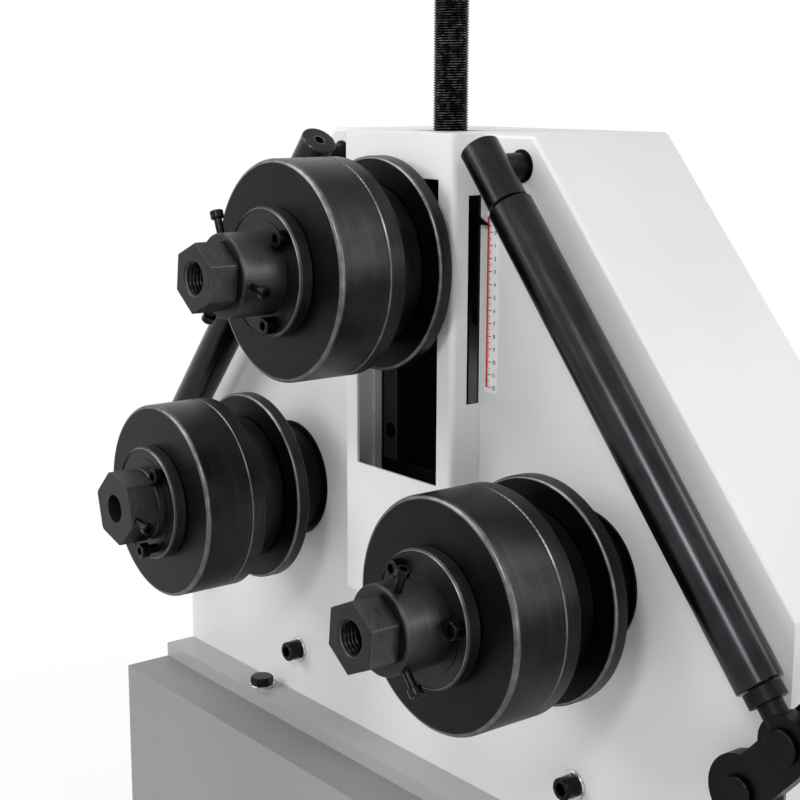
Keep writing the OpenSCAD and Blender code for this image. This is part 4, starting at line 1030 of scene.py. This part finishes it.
# %% Weld bead
BEAD_X = -67 * MM
BEAD_LIFT = 0.2 * MM
BEAD_BELOW_AXES = 60 * MM
BEAD_BELOW_TOP = 40 * MM
BEAD_STEP = 0.6
BEAD_RADIUS = 1.5
RIPPLE = 2.6
RIPPLE_HEIGHT = 0.35
UNEVEN = 0.25
SEED = 12
ARC = [math.radians(v) for v in (0, 25, 50, 75, 90)]
bead_low = ROLLS["left"].z - BEAD_BELOW_AXES
bead_high = TOP - BEAD_BELOW_TOP
random.seed(SEED)
work = bmesh.new()
rows = []
steps = int((bead_high - bead_low) / (BEAD_STEP * MM))
for step in range(steps):
    z = bead_low + step * BEAD_STEP * MM
    wave = RIPPLE_HEIGHT * math.sin(2 * math.pi * step * BEAD_STEP / RIPPLE)
    size = (BEAD_RADIUS + wave + UNEVEN * random.random()) * MM
    rows.append([
        work.verts.new((BEAD_X + size * math.cos(a), FRONT - BEAD_LIFT - size * math.sin(a), z))
        for a in ARC
    ])
for first, second in zip(rows, rows[1:]):
    for i in range(len(ARC) - 1):
        work.faces.new((first[i], first[i + 1], second[i + 1], second[i])).smooth = True
new_piece("column_weld_bead", work, white_coat, "frame")
print("weld bead:", steps, "rows")

# %% [markdown]
# ## Scale
# A thin white strip beside the pointer slot shows how far the upper roll was lowered: a red line
# with ticks each millimetre, black ticks every five and ten, and plain numbers in centimetres that
# count up downwards from the pointer's rest. It is printed, so each mark is a flat shape about two
# hundredths of a millimetre thick, and not a texture.

# %% Inks and one mark
low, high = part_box("scale_strip")
INK = 0.02
INK_BODY = 0.9
FACE = low.y - INK * MM
STRIP_MARGIN = 0.6 * MM
LINE_X = low.x + STRIP_MARGIN
ZERO_ABOVE_AXES = 246 * MM
ZERO = ROLLS["left"].z + ZERO_ABOVE_AXES
ABOVE_ZERO = 12
BELOW_ZERO = 120
red_ink = plain_finish("red ink", ("#d22a36", "#e0424c"), 0.5, 4 * MM, 0.0)
black_ink = plain_finish("black ink", ("#17171a", "#232327"), 0.5, 4 * MM, 0.0)


def flat_mark(work, x0, x1, z0, z1):
    """A printed rectangle on the strip; its back stops just short of the strip's face."""
    corners = [(x0, z0), (x1, z0), (x1, z1), (x0, z1)]
    front = [work.verts.new((x, FACE, z)) for x, z in corners]
    back = [work.verts.new((x, FACE + INK_BODY * INK * MM, z)) for x, z in corners]
    work.faces.new(front)
    for i in range(4):
        j = (i + 1) % 4
        work.faces.new((front[i], front[j], back[j], back[i]))


print("zero of the scale at", round(ZERO, 4))

# %% Ticks
LINE_WIDTH = 2.2
red = bmesh.new()
black = bmesh.new()
TICKS = {
    10: (black, 1.2, 6.2, 0.32),
    5: (black, 2.1, 4.7, 0.28),
    1: (red, 2.1, 3.8, 0.2),
}
flat_mark(red, LINE_X, LINE_X + LINE_WIDTH * MM, ZERO - BELOW_ZERO * MM, ZERO + ABOVE_ZERO * MM)
for step in range(-ABOVE_ZERO, BELOW_ZERO + 1):
    z = ZERO - step * MM
    ink, start, end, half = next(TICKS[every] for every in TICKS if step % every == 0)
    flat_mark(ink, LINE_X + start * MM, LINE_X + end * MM, z - half * MM, z + half * MM)
new_piece("scale_red_marks", red, red_ink, "frame")
print("ticks:", ABOVE_ZERO + BELOW_ZERO + 1)

# %% Numbers
NUMBER_HEIGHT = 4.3 * MM
NUMBER_WEIGHT = 0.11 * MM
NUMBER_SPACING = 0.85
NUMBER_X = low.x + 10.0 * MM
CENTIMETRE = 10 * MM
LAST_NUMBER = 12
upright = Matrix.Rotation(math.pi / 2, 4, "X")
for number in range(LAST_NUMBER + 1):
    text = bpy.data.curves.new("numeral", "FONT")
    text.body = str(number)
    text.size = NUMBER_HEIGHT
    text.offset = NUMBER_WEIGHT
    text.align_x = "CENTER"
    text.align_y = "CENTER"
    text.space_character = NUMBER_SPACING
    holder = bpy.data.objects.new("numeral", text)
    shape = bpy.data.meshes.new_from_object(holder)
    shape.transform(Matrix.Translation((NUMBER_X, FACE, ZERO - number * CENTIMETRE)) @ upright)
    black.from_mesh(shape)
    bpy.data.objects.remove(holder)
    bpy.data.curves.remove(text)
    bpy.data.meshes.remove(shape)
new_piece("scale_black_marks", black, black_ink, "frame")
print("scale from", round(ZERO - BELOW_ZERO * MM, 4), "to", round(ZERO, 4))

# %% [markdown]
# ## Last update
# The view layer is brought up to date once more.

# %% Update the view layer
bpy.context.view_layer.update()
